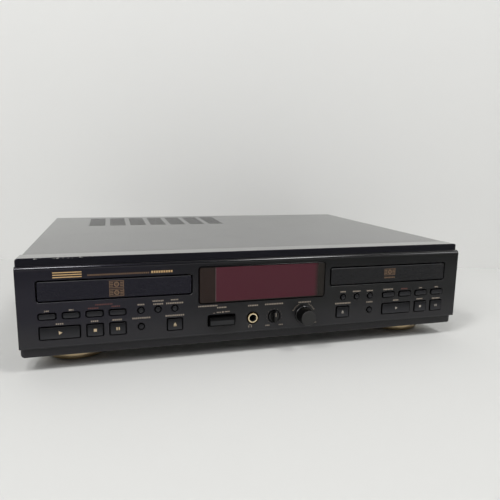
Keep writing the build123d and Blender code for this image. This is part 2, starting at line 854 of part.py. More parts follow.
# Boards at the back, with their larger parts: the supply beside the transformer, then the signal board
standoff = 6.0
standoff_radius = 3.0
standoff_inset = 6.0
board_front = frame_back + 8.0
rear_board_back = panel_back - plate - 14.0
supply_board = (transformer_x + 45.0, transformer_x + 109.0)
signal_board = (supply_board[1] + 8.0, chassis_half - 8.2)
supply_middle = (supply_board[0] + supply_board[1]) / 2
chip_size = 20.0
chip_height = 2.4
chip_pitch = (46.0, 34.0)
chip_counts = (4, 2)
chips_x = signal_board[0] + 128.0
chips_back = board_front + 40.0
capacitor_radius = 9.0
capacitor_height = 30.0
capacitor_pitch = (24.0, 26.0)
capacitors_back = board_front + 26.0
heat_sink_half = 25.0
heat_sink_height = 36.0
heat_sink_backs = (rear_board_back - 16.0, rear_board_back - 12.0)
with BuildPart() as circuit_boards:
    for low_x, high_x in (supply_board, signal_board):
        with BuildSketch(floor_at(plate + standoff)):
            span(low_x, board_front, high_x, rear_board_back)
        extrude(amount=board_thickness)
        with BuildSketch(floor_at(plate)):
            for x in (low_x + standoff_inset, high_x - standoff_inset):
                for back in (board_front + standoff_inset, rear_board_back - standoff_inset):
                    with Locations((x, back)):
                        Circle(standoff_radius)
        extrude(amount=standoff)
    with BuildSketch(floor_at(plate + standoff + board_thickness)):
        with Locations((chips_x, chips_back)):
            with GridLocations(*chip_pitch, *chip_counts):
                Rectangle(chip_size, chip_size)
    extrude(amount=chip_height)
    with BuildSketch(floor_at(plate + standoff + board_thickness)):
        with Locations((supply_middle, capacitors_back)):
            with GridLocations(*capacitor_pitch, 2, 2):
                Circle(capacitor_radius)
    extrude(amount=capacitor_height)
    with BuildSketch(floor_at(plate + standoff + board_thickness)):
        span(supply_middle - heat_sink_half, heat_sink_backs[0],
             supply_middle + heat_sink_half, heat_sink_backs[1])
    extrude(amount=heat_sink_height)
finish_part(circuit_boards, "circuit_boards")

# Frames of the two drives: walls with guide ribs, shelf, pinion post and clamper bridge
window_front = frame_front + 20.0
high_window = (shelf_z + 8.0, pivot_z + 3.0, pivot_back - 14.0)
low_window = (plate + 6.0, shelf_z - 4.0, frame_back - 20.0)
with BuildPart() as drive_frames:
    for drive_sign in sides.values():
        centre = drive_sign * drive_x
        for sign in sides.values():
            inner = centre + sign * frame_inner
            rib = centre + sign * (tray_half + frame_gap)
            outer = centre + sign * frame_outer
            with BuildSketch(face_at(frame_front)):
                outline_between(((outer, plate), (outer, bridge_z + bridge_thickness),
                                 (inner, bridge_z + bridge_thickness),
                                 (inner, runner_high + runner_play + guide_rib),
                                 (rib, runner_high + runner_play + guide_rib),
                                 (rib, runner_high + runner_play), (inner, runner_high + runner_play),
                                 (inner, runner_low - runner_play), (rib, runner_low - runner_play),
                                 (rib, runner_low - runner_play - guide_rib),
                                 (inner, runner_low - runner_play - guide_rib), (inner, plate)))
            extrude(amount=-(frame_back - frame_front))
        with BuildSketch(floor_at(shelf_z, centre)):
            span(-frame_inner, frame_front, frame_inner, frame_back)
        extrude(amount=shelf_thickness)
        with BuildSketch(floor_at(bridge_z, centre)):
            span(-frame_inner, disc_back - bridge_half_length, frame_inner, disc_back + bridge_half_length)
            with Locations((0, disc_back)):
                Circle(clamper_hole, mode=Mode.SUBTRACT)
        extrude(amount=bridge_thickness)
        with BuildSketch(floor_at(shelf_z + shelf_thickness, centre)):
            with Locations((pinion_x, pinion_back)):
                Rectangle(2 * pillar_half, 2 * pillar_half)
        extrude(amount=pinion_low - seat_gap - shelf_z - shelf_thickness)
        with BuildSketch(floor_at(pinion_low - seat_gap, centre)):
            with Locations((pinion_x, pinion_back)):
                Circle(pinion_post)
        extrude(amount=seat_gap + pinion_height)
        with BuildSketch(side_at(centre - frame_outer - 1)):
            with Locations((pivot_back, pivot_z)):
                Circle(pivot_radius + shaft_fit)
            for low, high, end in (high_window, low_window):
                span(window_front, low, end, high)
        extrude(amount=2 * frame_outer + 2, mode=Mode.SUBTRACT)
finish_part(drive_frames, "drive_frames")

# Loading motors on the shelves
motor_radius = 10.0
motor_height = 20.0
motor_x = -48.0
motor_back = 42.0
pulley_radius = 4.0
pulley_height = 5.0
with BuildPart() as loading_motors:
    for drive_sign in sides.values():
        with BuildSketch(floor_at(shelf_z + shelf_thickness, drive_sign * drive_x)):
            with Locations((motor_x, motor_back)):
                Circle(motor_radius)
        extrude(amount=motor_height)
        with BuildSketch(floor_at(shelf_z + shelf_thickness + motor_height, drive_sign * drive_x)):
            with Locations((motor_x, motor_back)):
                Circle(pulley_radius)
        extrude(amount=pulley_height)
finish_part(loading_motors, "loading_motors")


# Rack and pinion teeth
def involute_point(base, angle, turn):
    # Point of an involute that starts on the base circle, turned as a whole
    x = base * (math.cos(angle) + angle * math.sin(angle))
    y = base * (math.sin(angle) - angle * math.cos(angle))
    return (x * math.cos(turn) - y * math.sin(turn), x * math.sin(turn) + y * math.cos(turn))


def tooth_outline(index):
    # One pinion tooth, from below the root circle out to its tip, thinned by the play
    base = pinion_pitch * math.cos(math.radians(pressure_angle))
    tip = pinion_pitch + module * tooth_tip
    root = pinion_pitch - module * tooth_root
    pitch_angle = math.tan(math.radians(pressure_angle)) - math.radians(pressure_angle)
    half_tooth = math.pi / (2 * pinion_teeth) - mesh_play / (4 * pinion_pitch)
    middle = (index + 0.5) * 2 * math.pi / pinion_teeth
    tip_angle = math.sqrt((tip / base) ** 2 - 1)
    flank = [involute_point(base, tip_angle * step / 5, -half_tooth - pitch_angle) for step in range(6)]
    start = (root * 0.9 * math.cos(-half_tooth - pitch_angle),
             root * 0.9 * math.sin(-half_tooth - pitch_angle))
    low_side = [start] + flank
    high_side = [(x, -y) for x, y in reversed(low_side)]
    return [(x * math.cos(middle) - y * math.sin(middle), x * math.sin(middle) + y * math.cos(middle))
            for x, y in low_side + high_side]


def make_pinion(side, centre):
    with BuildPart() as pinion:
        with BuildSketch(floor_at(pinion_low, centre)):
            with Locations((pinion_x, pinion_back)):
                Circle(pinion_pitch - module * tooth_root)
            for index in range(pinion_teeth):
                outline_between([(pinion_x + x, pinion_back + y) for x, y in tooth_outline(index)])
            with Locations((pinion_x, pinion_back)):
                Circle(pinion_post + shaft_fit, mode=Mode.SUBTRACT)
        extrude(amount=pinion_height)
    finish_part(pinion, f"tray_pinion_{side}")


def rack_outline(low, high):
    # Rack with its teeth towards the pinion, one tooth in line with the pinion's centre
    slope = math.tan(math.radians(pressure_angle))
    half_tooth = math.pi * module / 4 - mesh_play / 4
    height = module * tooth_tip
    depth = module * tooth_root
    pitch = math.pi * module
    first = math.ceil((low + pitch - pinion_back) / pitch)
    last = math.floor((high - pitch - pinion_back) / pitch)
    corners = [(rack_x + depth + rack_backing, high), (rack_x + depth + rack_backing, low),
               (rack_x + depth, low)]
    for index in range(first, last + 1):
        middle = pinion_back + index * pitch
        corners.append((rack_x + depth, middle - half_tooth - depth * slope))
        corners.append((rack_x - height, middle - half_tooth + height * slope))
        corners.append((rack_x - height, middle + half_tooth - height * slope))
        corners.append((rack_x + depth, middle + half_tooth + depth * slope))
    corners.append((rack_x + depth, high))
    return corners


def make_tray(side, centre):
    well_floor = tray_high - well_depth
    pocket_top = well_floor - small_well_depth - tray_skin
    inside = tray_half - tray_rib
    with BuildPart() as tray:
        with BuildSketch(floor_at(tray_low, centre)):
            span(-tray_half, door_thickness, tray_half, tray_back)
        extrude(amount=tray_high - tray_low)
        fillet(tray.faces().sort_by(Axis.Z)[-1].edges(), min(tray_round, (tray_high - tray_low) / 3))
        with BuildSketch(floor_at(runner_low, centre)):
            for sign in sides.values():
                span(min(sign * inside, sign * runner_half), frame_front - seat_gap,
                     max(sign * inside, sign * runner_half), tray_back)
        extrude(amount=runner_high - runner_low)
        with BuildSketch(floor_at(tray_high, centre)):
            with Locations((0, disc_back)):
                Circle(disc_radius + disc_room)
                with GridLocations(2 * (disc_radius - finger_reach), 1, 2, 1):
                    Circle(finger_radius)
        extrude(amount=-well_depth, mode=Mode.SUBTRACT)
        with BuildSketch(floor_at(well_floor, centre)):
            with Locations((0, disc_back)):
                Circle(small_disc_radius)
        extrude(amount=-small_well_depth, mode=Mode.SUBTRACT)
        with BuildSketch(floor_at(tray_low, centre)):
            for sign in sides.values():
                span(min(sign * (slot_half + tray_rib), sign * inside), door_thickness + tray_rib,
                     max(sign * (slot_half + tray_rib), sign * inside), tray_back - tray_rib)
            span(-slot_half - tray_rib, door_thickness + tray_rib, slot_half + tray_rib,
                 disc_back - slot_half - tray_rib)
        extrude(amount=pocket_top - tray_low, mode=Mode.SUBTRACT)
        with BuildSketch(floor_at(tray_low - 1, centre)):
            with BuildLine():
                Line((slot_half, tray_back + 1), (slot_half, disc_back))
                ThreePointArc((slot_half, disc_back), (0, disc_back - slot_half), (-slot_half, disc_back))
                Polyline((-slot_half, disc_back), (-slot_half, tray_back + 1), (slot_half, tray_back + 1))
            make_face()
        extrude(amount=tray_high - tray_low + 2, mode=Mode.SUBTRACT)
        with BuildSketch(floor_at(rack_low, centre)):
            outline_between(rack_outline(door_thickness + 2 * tray_rib, tray_back - 2 * tray_rib))
        extrude(amount=pocket_top - rack_low)
    finish_part(tray, f"tray_{side}")


def make_door(side, centre):
    with BuildPart() as door:
        with BuildSketch(face_at(0)):
            with Locations((centre, door_z)):
                RectangleRounded(door_width, door_height, door_corner)
        extrude(amount=-door_thickness)
        chamfer(door.faces().sort_by(Axis.Y)[0].edges(), door_chamfer)
    finish_part(door, f"tray_door_{side}")


# Optical unit: plate on two pivots, spindle motor, and rods for the pickup
def make_unit(side, centre):
    with BuildPart() as unit:
        with BuildSketch(floor_at(unit_low, centre)):
            span(-unit_half, unit_front, unit_half, pivot_back)
            with Locations((0, disc_back)):
                Circle(spindle_shaft + 2.5, mode=Mode.SUBTRACT)
        extrude(amount=unit_thickness)
        with BuildSketch(floor_at(pivot_z - pivot_bar_height / 2, centre)):
            span(-frame_inner + frame_gap, pivot_back - pivot_bar_half,
                 frame_inner - frame_gap, pivot_back + pivot_bar_half)
        extrude(amount=pivot_bar_height)
        with BuildSketch(side_at(centre - frame_outer + seat_gap)):
            with Locations((pivot_back, pivot_z)):
                Circle(pivot_radius)
        extrude(amount=2 * (frame_outer - seat_gap))
        with BuildSketch(floor_at(unit_low, centre)):
            with Locations((0, disc_back)):
                Circle(spindle_motor_radius)
                Circle(spindle_shaft + shaft_fit, mode=Mode.SUBTRACT)
        extrude(amount=-spindle_motor_height)
        for back in (rod_front, rod_back - rod_clamp):
            with BuildSketch(floor_at(unit_top, centre)):
                for sign in sides.values():
                    with Locations((sign * rod_x, back + rod_clamp / 2)):
                        Rectangle(4 * rod_radius, rod_clamp)
            extrude(amount=rod_z + 1.8 * rod_radius - unit_top)
        with BuildSketch(face_at(rod_front)):
            for sign in sides.values():
                with Locations((centre + sign * rod_x, rod_z)):
                    Circle(rod_radius)
        extrude(amount=-(rod_back - rod_front))
    finish_part(unit, f"optical_unit_{side}")


def make_turntable(side, centre):
    bottom = unit_low - spindle_motor_height + seat_gap
    with BuildPart() as turntable:
        with BuildSketch(upright_at(centre, disc_back)):
            outline_between(((0, bottom), (spindle_shaft, bottom), (spindle_shaft, rod_z),
                             (hub_radius, rod_z), (hub_radius, turntable_top - turntable_thickness),
                             (turntable_radius, turntable_top - turntable_thickness),
                             (turntable_radius, turntable_top), (hub_radius, turntable_top),
                             (hub_radius - hub_bevel, turntable_top + hub_height),
                             (0, turntable_top + hub_height)))
        revolve(axis=upright_axis(centre, disc_back))
        with BuildSketch(floor_at(turntable_top + hub_height, centre)):
            with Locations((0, disc_back)):
                with PolarLocations(hub_radius - 3 * hub_bevel, hub_balls):
                    Circle(ball_radius)
        extrude(amount=-hub_bevel, mode=Mode.SUBTRACT)
    finish_part(turntable, f"turntable_{side}")


def make_pickup(side, centre):
    low = unit_top + pickup_gap
    high = rod_z + pickup_cap
    lens_back = disc_back + lens_offset
    with BuildPart() as pickup:
        with BuildSketch(face_at(pickup_start)):
            with Locations((centre, (low + high) / 2)):
                Rectangle(2 * (rod_x + pickup_wing), high - low)
            for sign in sides.values():
                with Locations((centre + sign * rod_x, rod_z)):
                    Circle(rod_radius + shaft_fit, mode=Mode.SUBTRACT)
        extrude(amount=-pickup_length)
        with BuildSketch(floor_at(high, centre)):
            with Locations((0, lens_back)):
                Rectangle(*lens_base)
        extrude(amount=lens_base_height)
        with BuildSketch(floor_at(high + lens_base_height, centre)):
            with Locations((0, lens_back)):
                Circle(lens_radius)
        extrude(amount=lens_height)
    finish_part(pickup, f"pickup_{side}")


def make_clamper(side, centre):
    cap_low = bridge_z + bridge_thickness + clamper_play
    cap_high = cap_low + clamper_thickness
    neck = clamper_hole - clamper_play
    recess = hub_radius + clamper_recess
    with BuildPart() as clamper:
        with BuildSketch(upright_at(centre, disc_back)):
            outline_between(((0, clamper_low + clamper_thickness), (recess, clamper_low + clamper_thickness),
                             (recess, clamper_low), (clamper_radius, clamper_low),
                             (clamper_radius, bridge_z - clamper_play), (neck, bridge_z - clamper_play),
                             (neck, cap_low), (clamper_hole + clamper_rim, cap_low),
                             (clamper_hole + clamper_rim, cap_high), (0, cap_high)))
        revolve(axis=upright_axis(centre, disc_back))
    finish_part(clamper, f"clamper_{side}")


for side, sign in sides.items():
    make_pinion(side, sign * drive_x)
    make_tray(side, sign * drive_x)
    make_door(side, sign * drive_x)
    make_unit(side, sign * drive_x)
    make_turntable(side, sign * drive_x)
    make_pickup(side, sign * drive_x)
    make_clamper(side, sign * drive_x)
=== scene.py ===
import bpy
import json
import math
from mathutils import Matrix, Vector


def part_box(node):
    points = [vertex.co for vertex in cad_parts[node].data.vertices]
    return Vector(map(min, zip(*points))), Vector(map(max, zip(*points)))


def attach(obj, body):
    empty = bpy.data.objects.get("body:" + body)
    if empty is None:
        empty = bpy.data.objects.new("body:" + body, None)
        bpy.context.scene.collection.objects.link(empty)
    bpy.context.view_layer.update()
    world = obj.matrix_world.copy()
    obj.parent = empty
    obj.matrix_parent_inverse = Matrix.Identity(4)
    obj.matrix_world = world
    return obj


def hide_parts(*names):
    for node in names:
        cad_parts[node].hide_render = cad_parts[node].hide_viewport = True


# Disc recorder with two drives: finishes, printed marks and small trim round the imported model
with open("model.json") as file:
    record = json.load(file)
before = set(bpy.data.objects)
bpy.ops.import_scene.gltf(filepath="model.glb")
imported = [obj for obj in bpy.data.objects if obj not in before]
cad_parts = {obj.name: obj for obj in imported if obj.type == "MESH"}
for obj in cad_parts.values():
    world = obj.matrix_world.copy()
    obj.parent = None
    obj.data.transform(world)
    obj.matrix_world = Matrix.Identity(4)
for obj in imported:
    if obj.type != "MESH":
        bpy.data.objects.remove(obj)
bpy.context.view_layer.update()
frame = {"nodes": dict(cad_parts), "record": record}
mm = 0.001
sides = ("left", "right")
print("frame loaded:", len(frame["nodes"]), "nodes")

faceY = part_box("tray_door_left")[0].y  # main face of the front
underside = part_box("front_fascia")[0].z
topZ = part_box("front_fascia")[1].z
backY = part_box("rear_panel")[1].y


def inFront(x, up):
    # a point on the front, from its place in mm across and above the underside
    return Vector((x * mm, faceY, underside + up * mm))


def atBack(x, up, proud=0.0):
    # a point on the back panel, placed in the same way
    return Vector((x * mm, backY + proud * mm, underside + up * mm))


# Small helpers for modelling by hand
def selectNothing():
    if bpy.context.object and bpy.context.object.mode == "EDIT":
        bpy.ops.object.mode_set(mode="OBJECT")
    bpy.ops.object.select_all(action="DESELECT")


def takeOnly(piece):
    selectNothing()
    bpy.context.view_layer.objects.active = piece
    piece.select_set(True)


def startPiece(name):
    # an empty mesh at the origin, left in edit mode
    selectNothing()
    bpy.ops.mesh.primitive_plane_add(size=1, location=(0, 0, 0))
    piece = bpy.context.object
    piece.name = name
    piece.data.name = name
    bpy.ops.object.mode_set(mode="EDIT")
    bpy.ops.mesh.select_all(action="SELECT")
    bpy.ops.mesh.delete(type="VERT")
    return piece


def endPiece(piece, finish, body, smoothAngle):
    # back to object mode, shaded, painted and riding on its body
    takeOnly(piece)
    if smoothAngle:
        bpy.ops.object.shade_smooth_by_angle(angle=math.radians(smoothAngle))
    piece.data.materials.clear()
    piece.data.materials.append(finish)
    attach(piece, body)


def addTile(spot, width, height, turn=0.0):
    # one upright rectangle that looks out to the front, in edit mode
    bpy.ops.mesh.primitive_plane_add(size=1, location=spot, rotation=(math.pi / 2, 0, 0))
    bpy.ops.transform.resize(value=(width * mm, 1, height * mm), center_override=spot)
    if turn:
        bpy.ops.transform.rotate(value=turn, orient_axis="Y", center_override=spot)


def addRound(spot, radius, corners, start=0.0):
    # one upright filled circle or regular shape that looks out to the front
    bpy.ops.mesh.primitive_circle_add(vertices=corners, radius=radius * mm, fill_type="NGON",
                                      location=spot, rotation=(math.pi / 2, 0, 0))
    if start:
        bpy.ops.transform.rotate(value=start, orient_axis="Y", center_override=spot)


def addRing(spot, radius, width, corners):
    # a flat ring: a circle whose face is inset and then opened
    addRound(spot, radius, corners)
    bpy.ops.mesh.inset(thickness=width * mm, depth=0)
    bpy.ops.mesh.delete(type="FACE")


def addArc(centre, radius, first, last, count, width, high):
    # short tiles along an arc; angles in degrees, counted up from the right
    for k in range(count):
        angle = math.radians(first + (last - first) * k / (count - 1))
        spot = centre + Vector((math.cos(angle), 0, math.sin(angle))) * radius * mm
        addTile(spot, width, high, math.pi / 2 - angle)


def thicken(depth):
    # flat outlines become prints of this thickness, towards the front where it is positive
    bpy.ops.mesh.select_all(action="SELECT")
    bpy.ops.mesh.extrude_region_move(TRANSFORM_OT_translate={"value": (0, -depth * mm, 0)})
    bpy.ops.mesh.select_all(action="SELECT")
    bpy.ops.mesh.normals_make_consistent(inside=False)


# Shader maths as expressions
class Wire:
    def __init__(self, sheet, socket):
        self.sheet = sheet
        self.socket = socket

    def math(self, operation, first, second=0.0):
        return self.sheet.node("ShaderNodeMath", {"operation": operation}, {0: first, 1: second})

    def __add__(self, other):
        return self.math("ADD", self, other)

    def __sub__(self, other):
        return self.math("SUBTRACT", self, other)

    def __rsub__(self, other):
        return self.math("SUBTRACT", other, self)

    def __mul__(self, other):
        return self.math("MULTIPLY", self, other)

    def __gt__(self, other):
        return self.math("GREATER_THAN", self, other)

    def __lt__(self, other):
        return self.math("LESS_THAN", self, other)

    def __abs__(self):
        return self.math("ABSOLUTE", self)

    def __or__(self, other):
        return self.math("MAXIMUM", self, other)

    __radd__ = __add__
    __rmul__ = __mul__


class Sheet:
    def __init__(self, tree):
        self.nodes = tree.nodes
        self.links = tree.links

    def join(self, socket, value):
        if isinstance(value, Wire):
            self.links.new(value.socket, socket)
        elif isinstance(value, tuple) and socket.type == "RGBA":
            socket.default_value = (*value, 1.0)
        else:
            socket.default_value = value

    def node(self, kind, settings=None, values=None, output=0):
        made = self.nodes.new(kind)
        for name, value in (settings or {}).items():
            setattr(made, name, value)
        for name, value in (values or {}).items():
            self.join(made.inputs[name], value)
        return Wire(self, made.outputs[output])

    def between(self, value, low, high):
        # 0 below low, 1 above high, smooth in between; high may be the lower one
        settings = {"interpolation_type": "SMOOTHSTEP"}
        if high > low:
            return self.node("ShaderNodeMapRange", settings,
                             {"Value": value, "From Min": low, "From Max": high})
        return 1 - self.between(value, high, low)

    def mix(self, share, first, second):
        return self.node("ShaderNodeMix", {"data_type": "RGBA"}, {0: share, 6: first, 7: second}, 2)


class Finish(Sheet):
    def __init__(self, name, colour, roughness, metallic=0.0, **fixed):
        self.material = bpy.data.materials.new(name)
        self.material.use_nodes = True
        super().__init__(self.material.node_tree)
        self.shader = self.nodes["Principled BSDF"]
        self.feed("Base Color", colour)
        self.feed("Roughness", roughness)
        self.feed("Metallic", metallic)
        for socket, value in fixed.items():
            self.shader.inputs[socket.replace("_", " ")].default_value = value

    def feed(self, name, value):
        self.join(self.shader.inputs[name], value)

    def place(self, axis=None):
        whole = self.node("ShaderNodeTexCoord", output="Object")
        if axis is None:
            return whole
        return self.node("ShaderNodeSeparateXYZ", values={0: whole}, output="XYZ".index(axis))

    def noise(self, scale, detail, stretch=None):
        spot = self.place()
        if stretch:
            spot = self.node("ShaderNodeMapping", values={"Vector": spot, "Scale": stretch})
        return self.node("ShaderNodeTexNoise", values={"Vector": spot, "Scale": scale, "Detail": detail})

    def awayFrom(self, x, up):
        # distance from an axis that runs from front to back, with its place in mm
        flat = self.node("ShaderNodeCombineXYZ", values={
            0: self.place("X") - x * mm, 1: self.place("Z") - (underside + up * mm)})
        return self.node("ShaderNodeVectorMath", {"operation": "LENGTH"}, {0: flat}, 1)

    def insideOf(self, node, corner):
        # distance in from a node's rounded outline on the front, correct up to its corner radius in mm
        low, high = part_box(node)
        middle = (low + high) / 2
        reach = (high - low) / 2
        flat = self.node("ShaderNodeCombineXYZ", values={
            0: (abs(self.place("X") - middle.x) - (reach.x - corner * mm)) | 0.0,
            1: (abs(self.place("Z") - middle.z) - (reach.z - corner * mm)) | 0.0})
        return corner * mm - self.node("ShaderNodeVectorMath", {"operation": "LENGTH"}, {0: flat}, 1)

    def bump(self, height, distance, strength):
        # distance in mm
        self.feed("Normal", self.node("ShaderNodeBump", values={
            "Height": height, "Distance": distance * mm, "Strength": strength}))


# Front moulding: satin black with a fine level grain, bluer at the left, rubbed pale along the top edge
frontLook = {
    "left": (0.0078, 0.0070, 0.0130), "right": (0.0056, 0.0058, 0.0060), "low": (0.024, 0.0232, 0.0252),
    "bandShade": (0.0009, 0.0008, 0.0045), "line": (0.045, 0.045, 0.047), "paleUneven": (0.60, 0.60, 0.58),
    "top": (0.085, 0.084, 0.080), "gapShade": (0.0012, 0.0012, 0.0015),
    "roughness": 0.28, "gloss": 0.25, "ledgeCoat": 1.0, "topCoat": 0.9, "coatRoughness": 0.12,
    "grain": 5200, "grainStretch": (0.08, 1, 1), "cloud": 38.0, "chips": 520.0, "chipFade": (0.63, 0.66),
    "bump": (0.02, 0.2),
    # how strongly the lower colour (a painted reflection of the floor), the cloud, the line (a painted
    # highlight) and the dulling are laid on
    "floorReflectionShare": 0.8, "cloudShare": 0.12, "lineShare": 0.7,
    "deepDull": 0.9, "lipDull": 0.7, "faceDull": 0.4,
    # what is added to the roughness, evenly and by the grain, the cloud, the top and the dark places
    "evenRough": -0.04, "grainRough": 0.06, "cloudRough": 0.05, "topRough": -0.1, "deepRough": 0.4,
    # in mm: across from the middle, up from the underside, down from the top, back from the main face
    "bluerUntil": -170.0, "rubbedFrom": -202.0, "rubbedTo": -150.0, "wallHalf": 211.0,
    "lineUp": 10.3, "lineHalf": 0.16, "floorReflectionUp": (42, 12), "dullerUp": (52, 78), "wallUp": (11.5, 76.5),
    "ledgeUp": (77.4, 78.0), "bandUp": (80.5, 81.3),
    "edgeDown": (1.0, 0.3), "topDown": (0.5, 0.1), "lipDown": (0.9, 0.5),
    "lineBack": 0.5, "wallBack": 0.45, "edgeBack": (5.0, 4.3), "topBack": (5.9, 6.5),
}


def makeFront():
    look = frontLook
    front = Finish("frontMoulding", look["left"], look["roughness"], Specular_IOR_Level=look["gloss"],
                   Coat_Roughness=look["coatRoughness"])
    grain = front.noise(look["grain"], 3.0, look["grainStretch"])
    cloud = front.noise(look["cloud"], 2.0)
    up = front.place("Z")
    across = front.place("X")
    depth = front.place("Y")

    def fadeUp(first, last):
        # 0 at the first height above the underside, 1 at the last
        return front.between(up, underside + first * mm, underside + last * mm)

    def fadeDown(first, last):
        # 0 at the first distance below the top, 1 at the last
        return front.between(up, topZ - first * mm, topZ - last * mm)

    def fadeBack(first, last):
        # 0 at the first distance behind the main face, 1 at the last
        return front.between(depth, faceY + first * mm, faceY + last * mm)

    onBand = fadeUp(*look["bandUp"])
    onLedge = fadeUp(*look["ledgeUp"]) * (1 - onBand)
    base = front.mix(front.between(across, look["bluerUntil"] * mm, 0.0), look["left"], look["right"])
    # the face is painted paler towards the underside: a painted reflection of the floor; the cloud below
    # mixes in the same colour at random
    base = front.mix(fadeUp(*look["floorReflectionUp"]) * look["floorReflectionShare"], base, look["low"])
    # the set-back band under the top strip is painted darker and bluer: painted shade
    base = front.mix(onBand, base, look["bandShade"])
    base = front.mix(cloud * look["cloudShare"], base, look["low"])
    # a thin pale line near the bottom is a painted highlight of a fine groove
    onGrooveHighlight = abs(up - (underside + look["lineUp"] * mm)) < look["lineHalf"] * mm
    onGrooveHighlight = onGrooveHighlight * (depth < faceY + look["lineBack"] * mm)
    base = front.mix(onGrooveHighlight * look["lineShare"], base, look["line"])
    # walls of the openings are left rough and painted dark: painted shade in the openings
    wallLow, wallHigh = (underside + height * mm for height in look["wallUp"])
    gapShade = (depth > faceY + look["wallBack"] * mm) * (up > wallLow) * (up < wallHigh) \
        * (abs(across) < look["wallHalf"] * mm)
    base = front.mix(gapShade, base, look["gapShade"])
    edge = fadeDown(*look["edgeDown"]) * fadeBack(*look["edgeBack"])
    chips = front.between(front.noise(look["chips"], 3.0), *look["chipFade"])
    span = (across > look["rubbedFrom"] * mm) * (across < look["rubbedTo"] * mm)
    # the level strip on top is handled most and polished; its paler colour is a painted sheen
    back = fadeBack(*look["topBack"])
    onTop = fadeDown(*look["topDown"]) * back
    onLip = fadeDown(*look["lipDown"]) * (1 - back)
    base = front.mix(onTop, base, look["top"])
    front.feed("Base Color", front.mix(edge * chips * span, base, look["paleUneven"]))
    # near-black metal reflects little, so it dulls the openings, the lip, the ledge under its clear coat
    # and, more and more towards the ledge, the face
    dull = fadeUp(*look["dullerUp"]) * look["faceDull"] * (1 - onTop)
    front.feed("Metallic", (gapShade | onLedge) * look["deepDull"] | onLip * look["lipDull"] | dull)
    front.feed("Coat Weight", onTop * look["topCoat"] + onLedge * look["ledgeCoat"])
    front.feed("Roughness", look["roughness"] + look["evenRough"]
               + grain * look["grainRough"] + cloud * look["cloudRough"]
               + onTop * look["topRough"] + (gapShade | onLip) * look["deepRough"])
    front.bump(grain, *look["bump"])
    return front.material


# Tray doors: the same moulding, a shade darker
doorLook = {"left": (0.0040, 0.0035, 0.0090), "right": (0.0064, 0.0064, 0.0074),
            "edge": (0.085, 0.085, 0.090), "bluerUntil": -100.0, "plainFrom": 100.0,
            "edgeWide": 0.9, "edgeSolid": 0.4, "wearAndSheen": 40.0, "wearAndSheenShare": 0.8, "sheenLeast": 0.3,
            "corner": 1.5, "border": 0.35, "rimBack": 0.5, "rimDull": 0.8,
            "roughness": 0.28, "evenRough": -0.03, "grainRough": 0.06, "gloss": 0.23}


def makeDoor():
    look = doorLook
    door = Finish("doorMoulding", look["left"], look["roughness"], Specular_IOR_Level=look["gloss"])
    grain = door.noise(frontLook["grain"], 3.0, frontLook["grainStretch"])
    base = door.mix(door.between(door.place("X"), look["bluerUntil"] * mm, look["plainFrom"] * mm),
                    look["left"], look["right"])
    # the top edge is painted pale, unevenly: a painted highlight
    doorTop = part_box("tray_door_left")[1].z
    edgeWide = look["edgeWide"] * mm
    edge = door.between(door.place("Z"), doorTop - edgeWide, doorTop - edgeWide * look["edgeSolid"])
    uneven = door.noise(look["wearAndSheen"], 2.0) * look["wearAndSheenShare"] + look["sheenLeast"]
    base = door.mix(edge * uneven, base, look["edge"])
    # the rim behind the face and a narrow border of the face are painted dark: painted shade in the gap
    # round the door
    inside = door.insideOf("tray_door_left", look["corner"]) \
        | door.insideOf("tray_door_right", look["corner"])
    rim = (door.place("Y") > faceY + look["rimBack"] * mm) | (inside < look["border"] * mm)
    door.feed("Base Color", door.mix(rim, base, frontLook["gapShade"]))
    door.feed("Metallic", rim * look["rimDull"])
    door.feed("Roughness", look["roughness"] + look["evenRough"] + grain * look["grainRough"])
    door.bump(grain, *frontLook["bump"])
    return door.material


# Cover: satin paint over a fine even texture, with a little dust
coverLook = {"colour": (0.050, 0.050, 0.049), "dust": (0.11, 0.11, 0.107), "roughness": 0.20, "ior": 1.62,
             "coat": 0.42, "coatRoughness": 0.2, "pebble": 2600, "pebbleSmooth": 0.6, "pebbleRough": 0.03,
             "cloud": 22.0, "cloudShare": 0.08, "cloudRough": 0.06, "grit": 1800.0,
             "gritFade": (0.60, 0.75), "gritShare": 0.25, "bump": (0.03, 0.2)}


def makeCover():
    look = coverLook
    cover = Finish("coverPaint", look["colour"], look["roughness"], IOR=look["ior"],
                   Coat_Weight=look["coat"], Coat_Roughness=look["coatRoughness"])
    pattern = {"Vector": cover.place(), "Scale": look["pebble"], "Smoothness": look["pebbleSmooth"]}
    pebble = cover.node("ShaderNodeTexVoronoi", {"feature": "SMOOTH_F1"}, pattern)
    cloud = cover.noise(look["cloud"], 4.0)
    dust = cover.between(cover.noise(look["grit"], 3.0), *look["gritFade"]) * look["gritShare"]
    dusty = dust + cloud * look["cloudShare"]
    cover.feed("Base Color", cover.mix(dusty, look["colour"], look["dust"]))
    cover.feed("Roughness", look["roughness"] + cloud * look["cloudRough"] + pebble * look["pebbleRough"])
    cover.bump(pebble, *look["bump"])
    return cover.material


# Window: smoked dark red behind clear gloss, a darker strip at the left and a faded right end
windowLook = {
    "red": (0.060, 0.0072, 0.0156), "deep": (0.050, 0.0057, 0.0126), "strip": (0.012, 0.004, 0.002),
    "line": (0.075, 0.045, 0.048), "edge": (0.001, 0.0005, 0.0005), "faded": (0.009, 0.006, 0.004),
    "stripEnd": -47.0, "lineHalf": 0.35, "redFade": (50.5, 56.5), "lowFade": (2.2, 1.2), "topMargin": 1.0,
    "coatMargin": 0.35, "seam": 0.95, "seamDull": 0.9, "corner": 2.9, "roughness": 0.12, "gloss": 0.26,
    "grain": 3000.0, "grainShare": 0.6, "smear": 60.0, "smearRough": 0.06,
}


